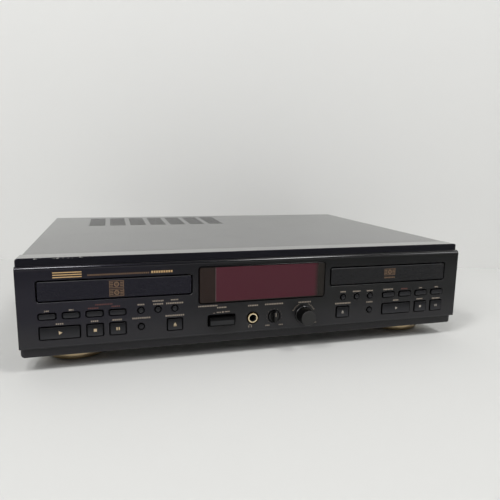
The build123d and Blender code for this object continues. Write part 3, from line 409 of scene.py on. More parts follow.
def makeWindow():
    look = windowLook
    window = Finish("displayWindow", look["red"], look["roughness"], Specular_IOR_Level=look["gloss"])
    across = window.place("X")
    up = window.place("Z")
    low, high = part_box("display_window")
    tone = window.mix(window.noise(look["grain"], 1.0) * look["grainShare"], look["red"], look["deep"])
    stripEnd = look["stripEnd"] * mm
    tone = window.mix(across < stripEnd, tone, look["strip"])
    tone = window.mix(abs(across - stripEnd) < look["lineHalf"] * mm, tone, look["line"])
    fadeFrom, fadeTo = (x * mm for x in look["redFade"])
    tone = window.mix(window.between(across, fadeFrom, fadeTo), tone, look["faded"])
    fadeFrom, fadeTo = (low.z + margin * mm for margin in look["lowFade"])
    tone = window.mix(window.between(up, fadeFrom, fadeTo), tone, look["faded"])
    # a black line round the rim and along the top margin, painted shade of the gap round the window, with
    # a polished upper edge
    rim = window.insideOf("display_window", look["corner"]) < look["seam"] * mm
    black = rim | (up > high.z - look["topMargin"] * mm)
    window.feed("Base Color", window.mix(black, tone, look["edge"]))
    window.feed("Metallic", rim * look["seamDull"])
    window.feed("Coat Weight", up > high.z - look["coatMargin"] * mm)
    window.feed("Roughness", look["roughness"] + window.noise(look["smear"], 3.0) * look["smearRough"])
    return window.material


# Keys: satin plastic, rubbed a little paler in patches; the hem is the rim of a key behind the front
keyLook = {"colour": (0.0085, 0.0088, 0.0108), "rub": (0.018, 0.018, 0.021),
           "edge": (0.044, 0.044, 0.047), "upper": (0.0030, 0.0031, 0.0042),
           "lower": (0.024, 0.024, 0.027), "edgeWide": 0.6, "edgeShare": 0.6, "edgeLeast": 0.3,
           "hem": 1.5, "rowSpare": 0.1, "roundOver": 0.68, "toneShare": 0.7, "dullFrom": 0.3,
           "dull": 0.45, "flankDull": 0.8, "roughness": 0.27, "rubRough": 0.10, "gloss": 0.27,
           "rubScale": 700.0, "rubShare": 0.5, "pebble": 6000.0, "bump": (0.015, 0.2)}


def makeKeys():
    look = keyLook
    key = Finish("keyPlastic", look["colour"], look["roughness"], Specular_IOR_Level=look["gloss"])
    rub = key.noise(look["rubScale"], 3.0)
    up = key.place("Z")
    base = key.mix(rub * look["rubShare"], look["colour"], look["rub"])
    # in both rows the keys are painted darker above and paler towards the bottom, painted shading, and
    # their level edges are painted pale, a painted highlight
    upperHalf = 0.0
    spare = look["rowSpare"] * mm
    for node in ("play_key_left", "next_key_left"):
        low, high = (corner.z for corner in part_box(node))
        low, high = low + look["hem"] * mm, high - look["hem"] * mm
        middle = (low + high) / 2
        row = (up > low - spare) * (up < high + spare)
        dullFrom = low + (high - low) * look["dullFrom"]
        upperHalf = key.between(up, dullFrom, high) * row + upperHalf
        base = key.mix(key.between(up, middle, high) * row * look["toneShare"], base, look["upper"])
        base = key.mix(key.between(up, middle, low) * row * look["toneShare"], base, look["lower"])
        edge = (up > high - look["edgeWide"] * mm) | (up < low + look["edgeWide"] * mm)
        paleUneven = rub * look["edgeShare"] + look["edgeLeast"]
        base = key.mix(edge * row * paleUneven, base, look["edge"])
    # flanks and most of the rounded edge are painted dark: painted shade in the gap round the key
    flank = key.place("Y") > faceY - look["roundOver"] * mm
    key.feed("Base Color", key.mix(flank, base, frontLook["gapShade"]))
    key.feed("Metallic", flank * look["flankDull"] | upperHalf * look["dull"])
    key.feed("Roughness", look["roughness"] + rub * look["rubRough"])
    key.bump(key.noise(look["pebble"], 2.0), *look["bump"])
    return key.material


# Power key: a paler lower half under a fine level line and a darker upper half, painted shading, with a
# black border and dark flanks, painted shade
powerLook = {"upper": (0.0015, 0.0015, 0.0018), "lower": (0.016, 0.0165, 0.018),
             "line": (0.030, 0.031, 0.034), "lineUp": 0.6, "lineHalf": 0.3, "lineShare": 0.5,
             "lineLeast": 0.5, "rim": 2.8, "rimBack": 0.5, "rimDull": 0.8, "corner": 3.2, "soft": 0.5,
             "upperDull": 0.6}


def makePowerKey():
    look = powerLook
    key = Finish("powerKey", look["lower"], keyLook["roughness"], Specular_IOR_Level=keyLook["gloss"])
    low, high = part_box("power_key")
    lineZ = (low.z + high.z) / 2 + look["lineUp"] * mm
    up = key.place("Z")
    rub = key.noise(keyLook["rubScale"], 3.0)
    # the darker upper half and the paler lower half are painted shading
    upperHalf = key.between(up, lineZ - look["soft"] * mm, lineZ + look["soft"] * mm)
    tone = key.mix(upperHalf, look["lower"], look["upper"])
    paleUneven = rub * look["lineShare"] + look["lineLeast"]
    tone = key.mix((abs(up - lineZ) < look["lineHalf"] * mm) * paleUneven, tone, look["line"])
    # the black border and the flanks are painted shade round the key
    border = key.insideOf("power_key", look["corner"]) < look["rim"] * mm
    rim = border | (key.place("Y") > low.y + look["rimBack"] * mm)
    key.feed("Base Color", key.mix(rim, tone, frontLook["gapShade"]))
    key.feed("Metallic", rim * look["rimDull"] | upperHalf * look["upperDull"])
    key.feed("Roughness", keyLook["roughness"] + rub * keyLook["rubRough"])
    key.bump(key.noise(keyLook["pebble"], 2.0), *keyLook["bump"])
    return key.material


# Knobs: gloss black grip with a satin face
knobLook = {"colour": (0.002, 0.002, 0.002), "face": (0.016, 0.0155, 0.0150), "faceFade": (0.7, 0.15),
            "roughness": 0.20, "faceRough": 0.25, "cloud": 900.0, "cloudRough": 0.06, "gloss": 0.35}


def makeKnobs():
    look = knobLook
    knob = Finish("knobPlastic", look["colour"], look["roughness"], Specular_IOR_Level=look["gloss"])
    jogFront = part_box("jog_knob")[0].y
    fadeFrom, fadeTo = (jogFront + back * mm for back in look["faceFade"])
    faceShare = knob.between(knob.place("Y"), fadeFrom, fadeTo)
    knob.feed("Base Color", knob.mix(faceShare, look["colour"], look["face"]))
    cloud = knob.noise(look["cloud"], 2.0) * look["cloudRough"]
    knob.feed("Roughness", look["roughness"] + faceShare * look["faceRough"] + cloud)
    return knob.material


# Trays: matt moulding with a fine spark texture
trayLook = {"colour": (0.016, 0.016, 0.017), "sparks": (0.030, 0.030, 0.031), "roughness": 0.46,
            "spark": 2800.0, "sparkShare": 0.5, "sparkRough": 0.14, "bump": (0.04, 0.35)}


def makeTrays():
    look = trayLook
    tray = Finish("trayPlastic", look["colour"], look["roughness"])
    spark = tray.noise(look["spark"], 2.0)
    tray.feed("Base Color", tray.mix(spark * look["sparkShare"], look["colour"], look["sparks"]))
    tray.feed("Roughness", look["roughness"] + spark * look["sparkRough"])
    tray.bump(spark, *look["bump"])
    return tray.material


# Foot rings: pale gold metal, turned, a little dull
ringLook = {"colour": (0.60, 0.47, 0.29), "dull": (0.38, 0.29, 0.17), "roughness": 0.28,
            "turning": 2400.0, "turningStretch": (0.05, 0.05, 1), "turningRough": 0.12,
            "tarnish": 90.0, "tarnishShare": 0.6, "bump": (0.02, 0.3)}


def makeFootRings():
    look = ringLook
    ring = Finish("footRing", look["colour"], look["roughness"], 1.0)
    turned = ring.noise(look["turning"], 2.0, look["turningStretch"])
    tarnish = ring.noise(look["tarnish"], 4.0)
    ring.feed("Base Color", ring.mix(tarnish * look["tarnishShare"], look["colour"], look["dull"]))
    ring.feed("Roughness", look["roughness"] + turned * look["turningRough"])
    ring.bump(turned, *look["bump"])
    return ring.material


# Headphone socket: gold with a bronze rim in front of the face, black body behind it and black bore
phonesLook = {"gold": (0.88, 0.74, 0.50), "dull": (0.62, 0.50, 0.30), "bronze": (0.13, 0.085, 0.035),
              "body": (0.010, 0.010, 0.010), "x": -10.8, "up": 22.8, "bore": 3.6, "bright": 4.55,
              "bodyBack": 1.0, "roughness": 0.20, "bodyRough": 0.3,
              "wearAndSheen": 1500.0, "wearAndSheenShare": 0.4, "wearRough": 0.08}


def makePhonesSocket():
    look = phonesLook
    socket = Finish("headphoneSocket", look["gold"], look["roughness"])
    depth = socket.place("Y")
    away = socket.awayFrom(look["x"], look["up"])
    dark = (depth > faceY + look["bodyBack"] * mm) | (away < look["bore"] * mm)
    wearAndSheen = socket.noise(look["wearAndSheen"], 3.0)
    tone = socket.mix(wearAndSheen * look["wearAndSheenShare"], look["gold"], look["dull"])
    tone = socket.mix(away > look["bright"] * mm, tone, look["bronze"])
    socket.feed("Base Color", socket.mix(dark, tone, look["body"]))
    socket.feed("Metallic", 1 - dark)
    socket.feed("Roughness", look["roughness"] + dark * look["bodyRough"] + wearAndSheen * look["wearRough"])
    return socket.material


# Sockets at the back: gold sleeves, black bodies inside the case and black optical sockets
jackLook = {"gold": (0.78, 0.58, 0.27), "body": (0.015, 0.015, 0.015), "opticalFrom": 140.0,
            "inside": 0.3, "roughness": 0.24, "wearAndSheen": 800.0, "wearRough": 0.12}


def makeJacks():
    look = jackLook
    jack = Finish("goldJack", look["gold"], look["roughness"])
    outside = jack.place("Y") > backY - look["inside"] * mm
    metal = outside * (jack.place("X") < look["opticalFrom"] * mm)
    jack.feed("Base Color", jack.mix(metal, look["body"], look["gold"]))
    jack.feed("Metallic", metal)
    jack.feed("Roughness", look["roughness"] + jack.noise(look["wearAndSheen"], 3.0) * look["wearRough"])
    return jack.material


# Mains inlet: black moulding round two plated pins
inletLook = {"body": (0.014, 0.014, 0.014), "pin": (0.56, 0.55, 0.52), "x": -178.0, "up": 32.0,
             "pitch": 8.6, "pinRadius": 1.35, "floor": 10.5, "roughness": 0.46, "pinRough": -0.2,
             "grain": 1500.0, "grainRough": 0.08}


def makeInlet():
    look = inletLook
    inlet = Finish("mainsInlet", look["body"], look["roughness"])
    pins = 0.0
    for sign in (-1, 1):
        away = inlet.awayFrom(look["x"] + sign * look["pitch"] / 2, look["up"])
        pins = (away < look["pinRadius"] * mm) + pins
    pins = pins * (inlet.place("Y") > backY - look["floor"] * mm)
    inlet.feed("Base Color", inlet.mix(pins, look["body"], look["pin"]))
    inlet.feed("Metallic", pins)
    grain = inlet.noise(look["grain"], 2.0) * look["grainRough"]
    inlet.feed("Roughness", look["roughness"] + pins * look["pinRough"] + grain)
    return inlet.material


# Plated sheet of the chassis, with the broad spangle of zinc
sheetLook = {"bright": (0.44, 0.44, 0.43), "grey": (0.30, 0.31, 0.32), "spangle": 140.0,
             "greyShare": 0.35, "roughness": 0.32, "greyRough": 0.14, "metallic": 0.9}


def makeSheet():
    look = sheetLook
    sheet = Finish("platedSheet", look["bright"], look["roughness"], look["metallic"])
    pattern = {"Vector": sheet.place(), "Scale": look["spangle"]}
    spangle = sheet.node("ShaderNodeTexVoronoi", values=pattern, output="Color")
    share = sheet.node("ShaderNodeSeparateColor", values={0: spangle})
    sheet.feed("Base Color", sheet.mix(share * look["greyShare"], look["bright"], look["grey"]))
    sheet.feed("Roughness", look["roughness"] + share * look["greyRough"])
    return sheet.material


# Plain finishes, each clouded by a second colour
plainLook = {
    # name: colour, second colour, roughness, metallic, pattern scale, bump in mm
    "footCore": ((0.014, 0.014, 0.014), (0.028, 0.028, 0.028), 0.55, 0.0, 2200.0, 0.04),
    "footPad": ((0.012, 0.012, 0.012), (0.035, 0.034, 0.033), 0.85, 0.0, 900.0, 0.06),
    "blackScrew": ((0.020, 0.020, 0.020), (0.060, 0.060, 0.058), 0.35, 0.8, 1200.0, 0.01),
    "displayGlass": ((0.030, 0.032, 0.034), (0.050, 0.050, 0.052), 0.12, 0.0, 300.0, 0.0),
    "circuitBoard": ((0.16, 0.12, 0.045), (0.06, 0.11, 0.05), 0.48, 0.0, 260.0, 0.02),
    "switchPlastic": ((0.016, 0.016, 0.016), (0.030, 0.030, 0.030), 0.45, 0.0, 1800.0, 0.02),
    "varnishedCore": ((0.12, 0.11, 0.10), (0.05, 0.045, 0.04), 0.5, 0.5, 700.0, 0.05),
    "drivePlastic": ((0.020, 0.020, 0.021), (0.036, 0.036, 0.037), 0.5, 0.0, 1600.0, 0.03),
    "motorCan": ((0.50, 0.50, 0.49), (0.36, 0.36, 0.36), 0.28, 1.0, 500.0, 0.01),
    "whiteWheel": ((0.62, 0.62, 0.58), (0.50, 0.50, 0.47), 0.42, 0.0, 1300.0, 0.02),
    "goldPrint": ((0.56, 0.37, 0.17), (0.44, 0.28, 0.12), 0.42, 0.0, 3000.0, 0.0),
    "creamPrint": ((0.56, 0.44, 0.28), (0.46, 0.35, 0.21), 0.42, 0.0, 3000.0, 0.0),
    "silverPrint": ((0.42, 0.38, 0.33), (0.34, 0.31, 0.27), 0.42, 0.0, 3000.0, 0.0),
    "palePrint": ((0.31, 0.26, 0.21), (0.24, 0.20, 0.16), 0.5, 0.0, 3000.0, 0.0),
    "redPrint": ((0.115, 0.034, 0.027), (0.090, 0.029, 0.024), 0.5, 0.0, 3000.0, 0.0),
    "bronzePrint": ((0.155, 0.088, 0.045), (0.100, 0.058, 0.031), 0.5, 0.0, 2600.0, 0.0),
    "whitePlastic": ((0.66, 0.65, 0.62), (0.56, 0.55, 0.52), 0.4, 0.0, 1500.0, 0.01),
    "redPlastic": ((0.36, 0.020, 0.018), (0.28, 0.018, 0.016), 0.38, 0.0, 1500.0, 0.01),
    "backLabel": ((0.012, 0.012, 0.013), (0.018, 0.018, 0.018), 0.55, 0.0, 1900.0, 0.01),
}
plainCloud = {"fade": (0.35, 0.7), "evenRough": -0.04, "cloudRough": 0.10, "bump": 0.3}


def makePlain(name):
    colour, second, roughness, metallic, scale, depth = plainLook[name]
    finish = Finish(name, colour, roughness, metallic)
    cloud = finish.noise(scale, 3.0)
    clouded = finish.between(cloud, *plainCloud["fade"])
    finish.feed("Base Color", finish.mix(clouded, colour, second))
    finish.feed("Roughness", roughness + plainCloud["evenRough"] + cloud * plainCloud["cloudRough"])
    if depth:
        finish.bump(cloud, depth, plainCloud["bump"])
    return finish.material


finishes = {name: makePlain(name) for name in plainLook}
finishes["frontMoulding"] = makeFront()
finishes["doorMoulding"] = makeDoor()
finishes["coverPaint"] = makeCover()
finishes["displayWindow"] = makeWindow()
finishes["keyPlastic"] = makeKeys()
finishes["powerKey"] = makePowerKey()
finishes["knobPlastic"] = makeKnobs()
finishes["trayPlastic"] = makeTrays()
finishes["footRing"] = makeFootRings()
finishes["headphoneSocket"] = makePhonesSocket()
finishes["goldJack"] = makeJacks()
finishes["mainsInlet"] = makeInlet()
finishes["platedSheet"] = makeSheet()
print("finishes made:", len(finishes))

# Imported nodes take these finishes, by the record's material slots
slotFinish = {
    "front_moulding": "frontMoulding", "display_window": "displayWindow", "cover_paint": "coverPaint",
    "chassis_steel": "platedSheet", "screw": "blackScrew", "foot_core": "footCore",
    "foot_ring": "footRing", "foot_pad": "footPad", "display_glass": "displayGlass",
    "board": "circuitBoard", "switch_plastic": "switchPlastic", "core_steel": "varnishedCore",
    "socket_metal": "headphoneSocket",
    "jack_metal": "goldJack", "drive_plastic": "drivePlastic", "motor_steel": "motorCan",
    "key_plastic": "keyPlastic", "knob_plastic": "knobPlastic", "tray_plastic": "trayPlastic",
    "gear_plastic": "whiteWheel",
}
nodeFinish = {"tray_door_left": "doorMoulding", "tray_door_right": "doorMoulding",
              "mains_inlet": "mainsInlet", "power_key": "powerKey"}
for subpart in frame["record"]["subparts"]:
    chosen = nodeFinish.get(subpart["node"], slotFinish[subpart["material_slot"]])
    for holder in frame["nodes"][subpart["node"]].material_slots:
        holder.material = finishes[chosen]
print("finishes given to the packed nodes")


# Printed symbols on the keys
def keyFace(node):
    low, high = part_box(node)
    return Vector(((low.x + high.x) / 2, low.y, (low.z + high.z) / 2))


printDepth = 0.05
symbolLook = {"arrow": 3.3, "square": 2.6, "bar": 0.95, "barHigh": 2.7, "gap": 1.9,
              "openArrow": 2.8, "openWide": 2.7, "openHigh": 0.65, "openDrop": 1.35}
openLift = 0.3  # how far the open arrow sits above its key's middle, on both sides


def addArrow(spot, side, turn):
    # an equal-sided triangle that points up at no turn
    addRound(spot, side / math.sqrt(3), 3, turn)


pointRight = math.radians(30)
pointLeft = math.radians(-30)

# print and size of the symbols on each side, the size as a share
symbolPrints = {"left": ("creamPrint", 1.0), "right": ("silverPrint", 0.85)}


def printSymbol(kind, side):
    node = f"{kind}_key_{side}"
    finish, scale = symbolPrints[side]
    look = {name: size * scale for name, size in symbolLook.items()}
    spot = keyFace(node)
    piece = startPiece(node + "_symbol")
    if kind == "play":
        addArrow(spot, look["arrow"], pointRight)
    elif kind == "stop":
        addTile(spot, look["square"], look["square"])
    elif kind == "pause":
        for sign in (-1, 1):
            addTile(spot + Vector((sign * look["gap"] / 2 * mm, 0, 0)), look["bar"], look["barHigh"])
    elif kind == "open":
        addArrow(spot + Vector((0, 0, openLift * mm)), look["openArrow"], 0)
        addTile(spot - Vector((0, 0, look["openDrop"] * mm)), look["openWide"], look["openHigh"])
    thicken(printDepth)
    endPiece(piece, finishes[finish], node, 0)


for side in sides:
    for kind in ("play", "stop", "pause", "open"):
        printSymbol(kind, side)
print("key symbols printed")


# Rows of small dashes on the front, placed by the middle of each row. The pitch is about that of a row
# of the usual height, and lower rows have closer dashes.
dashLook = {"pitch": 1.55, "usualHigh": 2.1, "spareHigh": 0.6, "crowding": 1.25, "fewest": 2,
            "solid": 0.66, "thick": 0.62}
frontLabels = {
    # name: x, up, width, height, in mm
    "play": (-183.7, 30.1, 6.6, 2.1), "stop": (-155.0, 30.4, 6.6, 2.1), "pause": (-136.0, 30.3, 8.4, 2.1),
    "timeLeft": (-115.1, 42.8, 6.4, 2.0), "textUpper": (-100.0, 45.3, 10.2, 1.9),
    "textLower": (-99.9, 42.4, 9.1, 2.0), "titleUpper": (-85.2, 45.5, 7.0, 1.8),
    "titleLower": (-85.1, 42.4, 15.9, 2.2), "relay": (-115.0, 30.4, 16.2, 2.2),
    "openLeft": (-85.1, 30.7, 17.4, 2.3), "power": (-41.3, 35.2, 9.3, 2.0),
    "phones": (-10.7, 35.1, 10.2, 2.1), "phonesLevel": (10.5, 35.3, 18.7, 2.2),
    "least": (4.2, 14.2, 4.5, 1.8), "most": (17.8, 14.0, 4.6, 1.8), "jog": (42.3, 35.1, 13.4, 2.1),
    "timeRight": (83.5, 43.1, 6.2, 2.0), "clear": (98.6, 42.8, 8.8, 2.0),
    "repeat": (113.6, 42.6, 7.2, 2.0), "menu": (113.8, 30.7, 7.4, 2.1),
    "openRight": (83.8, 31.2, 17.3, 2.3), "finish": (134.8, 42.8, 11.5, 2.1),
    "playRight": (144.4, 30.7, 6.6, 2.0), "stopRight": (173.1, 30.3, 7.6, 2.1),
    "pauseRight": (193.2, 29.9, 9.8, 2.1), "powerOn": (-44.0, 30.6, 4.4, 1.7),
    "powerOff": (-36.0, 30.8, 5.0, 1.7), "jogPush": (52.6, 13.6, 5.7, 1.5),
    "sensor": (-54.4, 37.4, 18.3, 1.9),
}
redLabels = {
    "copyWide": (-146.7, 45.1, 14.7, 1.7), "copyStart": (-155.7, 42.2, 9.1, 1.8),
    "copySpeed": (-136.8, 42.8, 7.7, 1.8), "record": (153.7, 42.4, 7.9, 2.1),
}
headLine = {"line": (-133.4, 71.8, 52.4, 2.2)}
headMarks = {"marks": (-96.1, 72.2, 19.4, 3.2)}


def addDashes(x, up, width, high, spotOf=inFront):
    look = dashLook
    fitting = width / look["pitch"] * look["usualHigh"] / (high + look["spareHigh"]) * look["crowding"]
    count = max(look["fewest"], round(fitting))
    step = width / count
    for k in range(count):
        spot = spotOf(x + (k + 0.5) * step - width / 2, up)
        addTile(spot, step * look["solid"], high * look["thick"])


def printRows(name, rows, finish):
    piece = startPiece(name)
    for row in rows.values():
        addDashes(*row)
    thicken(printDepth)
    endPiece(piece, finishes[finish], "case", 0)


printRows("front_labels", frontLabels, "palePrint")
printRows("front_labels_red", redLabels, "redPrint")
printRows("head_line", headLine, "bronzePrint")
printRows("head_marks", headMarks, "goldPrint")
print("front labels printed")

# Three level gold stripes in the front's upper left corner
stripeLook = {"x": -175.7, "up": 73.0, "width": 23.4, "thick": 0.85, "pitch": 2.05}
stripes = startPiece("corner_stripes")
for step in (-1, 0, 1):
    stripeSpot = inFront(stripeLook["x"], stripeLook["up"] + step * stripeLook["pitch"])
    addTile(stripeSpot, stripeLook["width"], stripeLook["thick"])
thicken(printDepth)
endPiece(stripes, finishes["goldPrint"], "case", 0)

# Small marks round the controls, arcs in degrees: skip symbols, power squares, headphone mark, and marks
# round the two knobs
skipLook = {"arrow": 1.7, "step": 1.35, "arrowSteps": (-0.8, 0.2), "barStep": 1.3, "bar": (0.45, 1.7)}
skipSpots = {"backLeft": (-193.4, 42.0, -1), "nextLeft": (-174.1, 41.9, 1),
             "backRight": (173.6, 42.3, -1), "nextRight": (192.6, 42.4, 1)}
powerMarks = {
    # name: x, up, width, height
    "flat": (-48.4, 30.1, 1.5, 0.5), "square": (-40.2, 30.7, 1.5, 1.5),
}
phonesMark = {"x": -13.3, "up": 14.9, "radius": 1.35, "arc": (5, 175), "count": 9, "tile": (0.55, 0.4),
              "cupAside": 1.3, "cupDown": 0.75, "cup": (0.75, 1.3)}
jogMark = {"x": 41.3, "up": 22.8, "radius": 11.4, "arcs": ((30, 62), (118, 150)), "count": 6,
           "tile": (1.1, 0.35), "arrow": 1.3, "arrowAside": 10.9, "arrowUp": 4.6, "arrowTurn": 20}
pushMark = {"x": 52.6, "up": 16.3, "arrow": 1.7}
levelMark = {"x": 10.9, "up": 22.8, "radius": 7.6, "arc": (-40, 220), "count": 11, "tile": (0.35, 0.35)}

marks = startPiece("front_marks")
for x, up, way in skipSpots.values():
    for step in skipLook["arrowSteps"]:
        addArrow(inFront(x + step * way * skipLook["step"], up), skipLook["arrow"],
                 pointRight if way > 0 else pointLeft)
    addTile(inFront(x + skipLook["barStep"] * way * skipLook["step"], up), *skipLook["bar"])
for x, up, width, high in powerMarks.values():
    addTile(inFront(x, up), width, high)
phones = inFront(phonesMark["x"], phonesMark["up"])
addArc(phones, phonesMark["radius"], *phonesMark["arc"], phonesMark["count"], *phonesMark["tile"])
for sign in (-1, 1):
    cup = Vector((sign * phonesMark["cupAside"] * mm, 0, -phonesMark["cupDown"] * mm))
    addTile(phones + cup, *phonesMark["cup"])
jog = inFront(jogMark["x"], jogMark["up"])
for arc in jogMark["arcs"]:
    addArc(jog, jogMark["radius"], *arc, jogMark["count"], *jogMark["tile"])
for sign in (1, -1):
    aside = Vector((sign * jogMark["arrowAside"] * mm, 0, jogMark["arrowUp"] * mm))
    addArrow(jog + aside, jogMark["arrow"], math.radians(sign * jogMark["arrowTurn"]))
addArrow(inFront(pushMark["x"], pushMark["up"]), pushMark["arrow"], 0)
level = inFront(levelMark["x"], levelMark["up"])
addArc(level, levelMark["radius"], *levelMark["arc"], levelMark["count"], *levelMark["tile"])
thicken(printDepth)
endPiece(marks, finishes["palePrint"], "case", 0)

# Pointer line on the level knob's grip
pointerLook = {"width": 0.55, "high": 3.6, "up": 2.9}
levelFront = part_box("level_knob")[0].y
pointer = startPiece("level_pointer")
pointerSpot = Vector((level.x, levelFront, level.z + pointerLook["up"] * mm))
addTile(pointerSpot, pointerLook["width"], pointerLook["high"])
thicken(printDepth)
endPiece(pointer, finishes["palePrint"], "level_knob", 0)

# Plain disc pictograms on the tray doors: a framed ring between short level lines, over a row of dashes
# on the right door
discLook = {"width": 12.4, "high": 6.6, "line": 0.55, "ring": 2.3, "hole": 0.75, "gap": 0.45, "rim": 0.3,
            "dash": (2.6, 0.8), "dashAside": 4.15, "dashPitch": 1.5}
discSpots = {"left": ((-135.5, 62.6), (-135.5, 55.1)), "right": ((135.4, 61.2),)}
discWords = {"right": (135.4, 55.4, 12.4, 2.4)}


def printDiscMark(side):
    look = discLook
    piece = startPiece(f"door_mark_{side}")
    width, high, line = look["width"], look["high"], look["line"]
    for x, up in discSpots[side]:
        for sign in (-1, 1):
            addTile(inFront(x, up + sign * (high - line) / 2), width, line)
            addTile(inFront(x + sign * (width - line) / 2, up), line, high - 2 * line)
            for row in (-1, 0, 1):
                dashSpot = inFront(x + sign * look["dashAside"], up + row * look["dashPitch"])
                addTile(dashSpot, *look["dash"])
        addRing(inFront(x, up), look["ring"], look["ring"] - look["hole"] - look["gap"], 32)
        addRing(inFront(x, up), look["hole"], look["rim"], 20)
    if side in discWords:
        addDashes(*discWords[side])
    thicken(printDepth)
    endPiece(piece, finishes["bronzePrint"], f"tray_{side}", 0)


for side in sides:
    printDiscMark(side)
print("marks printed")

# Cover screws: one round head with a cross recess, copied to its seven places
screwLook = {"head": 3.6, "high": 2.0, "dome": 0.7, "domeSteps": ((0.86, 0.65), (0.5, 0.35)),
             "shank": 1.6, "length": 5.0, "cross": 4.0, "slot": 0.85, "deep": 1.3, "sideUp": 16.0,
             "sideBacks": (70.0, 250.0), "rearXs": (-190.0, 0.0, 190.0)}


def makeScrew():
    look = screwLook
    selectNothing()
    bpy.ops.mesh.primitive_circle_add(vertices=32, radius=look["shank"] * mm, fill_type="NGON",
                                      location=(0, 0, -look["length"] * mm))
    screw = bpy.context.object
    bpy.ops.object.mode_set(mode="EDIT")
    bpy.ops.mesh.select_all(action="SELECT")
    bpy.ops.mesh.extrude_region_move(TRANSFORM_OT_translate={"value": (0, 0, look["length"] * mm)})
    # the shank's top is widened to the head and drawn up in three steps to a low dome
    steps = [(look["head"] / look["shank"], 0.0), (1.0, look["high"] - look["dome"])]
    steps += [(scale, look["dome"] * share) for scale, share in look["domeSteps"]]
    for scale, rise in steps:
        bpy.ops.mesh.extrude_region_move(TRANSFORM_OT_translate={"value": (0, 0, rise * mm)})
        bpy.ops.transform.resize(value=(scale, scale, 1))
    bpy.ops.mesh.select_all(action="SELECT")
    bpy.ops.mesh.remove_doubles(threshold=1e-7)
    bpy.ops.mesh.normals_make_consistent(inside=False)
    bpy.ops.object.mode_set(mode="OBJECT")
    # the cross recess is cut by two crossed bars
    for turn in (0, 90):
        selectNothing()
        bpy.ops.mesh.primitive_cube_add(size=1, location=(0, 0, look["high"] * mm))
        bar = bpy.context.object
        bar.dimensions = (look["cross"] * mm, look["slot"] * mm, 2 * look["deep"] * mm)
        bar.rotation_euler = (0, 0, math.radians(turn))
        takeOnly(screw)
        cut = screw.modifiers.new("recess", "BOOLEAN")
        cut.operation = "DIFFERENCE"
        cut.solver = "EXACT"
        cut.object = bar
        bpy.context.view_layer.update()
        bpy.ops.object.modifier_apply(modifier=cut.name)
        bpy.data.objects.remove(bar)
    takeOnly(screw)
    bpy.ops.object.transform_apply(location=True)
    return screw


def placeScrews():
    look = screwLook
    master = makeScrew()
    coverLow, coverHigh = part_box("top_cover")
    rearUp = (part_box("case_screws")[1].z - underside) / mm - look["head"]
    lipProud = (coverHigh.y - backY) / mm
    facingBack = Matrix.Rotation(-math.pi / 2, 4, "X")
    places = [Matrix.Translation(atBack(x, rearUp, lipProud)) @ facingBack for x in look["rearXs"]]
    for sign, wallX in ((-1, coverLow.x), (1, coverHigh.x)):
        for back in look["sideBacks"]:
            spot = Vector((wallX, faceY + back * mm, underside + look["sideUp"] * mm))
            places.append(Matrix.Translation(spot) @ Matrix.Rotation(sign * math.pi / 2, 4, "Y"))
    for number, place in enumerate(places, 1):
        screw = master.copy()
        screw.data = master.data.copy()
        screw.name = f"case_screw_{number}"
        bpy.context.scene.collection.objects.link(screw)
        screw.data.transform(place)
        endPiece(screw, finishes["blackScrew"], "case", 30)
        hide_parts("case_screws")
    bpy.data.objects.remove(master)


placeScrews()
print("screws placed")

# Back panel: dark label plate with dashes, and coloured rings in the sockets
backLook = {"columns": (20.0, 36.0, 56.0, 72.0, 110.0), "low": 40.0, "high": 58.0, "reach": 9.5,
            "ring": 3.3, "hole": 1.65, "ringSunk": 0.15, "ringDepth": 0.2,
            "plate": (66.0, 49.0, 116.0, 42.0), "plateDepth": 0.15,
            "words": ((28.0, 17.0), (64.0, 19.0), (110.0, 13.0)), "wordsUp": 67.2, "wordsHigh": 2.4}


def dressBack():
    look = backLook
    plate = startPiece("back_label_plate")
    x, up, width, high = look["plate"]
    addTile(atBack(x, up), width, high)
    thicken(-look["plateDepth"])
    endPiece(plate, finishes["backLabel"], "case", 0)
    for name, up, finish in (("socket_rings_white", look["high"], "whitePlastic"),
                             ("socket_rings_red", look["low"], "redPlastic")):
        rings = startPiece(name)
        for column in look["columns"]:
            spot = atBack(column, up, look["reach"] - look["ringSunk"])
            addRing(spot, look["ring"], look["ring"] - look["hole"], 32)
        thicken(-look["ringDepth"])
        endPiece(rings, finishes[finish], "case", 0)

    def onPlate(x, up):
        return atBack(x, up, look["plateDepth"])

    words = startPiece("back_labels")
    for x, width in look["words"]:
        addDashes(x, look["wordsUp"], width, look["wordsHigh"], onPlate)
    thicken(-printDepth)
    endPiece(words, finishes["whitePlastic"], "case", 0)


dressBack()
print("back dressed")

# Camera at the photograph's viewing angle
cameraLook = {"spot": (-137.75, -584.32, 180.89), "pitch": 9.94, "yaw": 16.08, "roll": 0.9, "lens": 34.84}


def makeCamera():
    pitch, yaw, roll = (math.radians(cameraLook[k]) for k in ("pitch", "yaw", "roll"))
    ahead = Vector((math.sin(yaw) * math.cos(pitch), math.cos(yaw) * math.cos(pitch), -math.sin(pitch)))
    level = Vector((math.cos(yaw), -math.sin(yaw), 0))
    above = level.cross(ahead)
    rightHand = level * math.cos(roll) + above * math.sin(roll)
    upHand = above * math.cos(roll) - level * math.sin(roll)
    turned = Matrix((rightHand, upHand, -ahead)).transposed().to_4x4()
    data = bpy.data.cameras.new("camera")
    data.lens = cameraLook["lens"]
    data.sensor_width = 36.0
    data.clip_start = 0.01
    data.clip_end = 50.0
    camera = bpy.data.objects.new("camera", data)
    camera.matrix_world = Matrix.Translation(Vector(cameraLook["spot"]) * mm) @ turned
    bpy.context.scene.collection.objects.link(camera)
    bpy.context.scene.camera = camera


makeCamera()

# Floor, backdrop and light
stageLook = {"floor": (0.59, 0.59, 0.576), "wall": (0.71, 0.71, 0.695), "wallSpot": (106.8, 262.5),
             "wallTurn": -17.3, "size": 8.0, "roughness": 0.9,
             "cloud": 3.0, "cloudShare": 0.3, "cloudTone": 0.97}
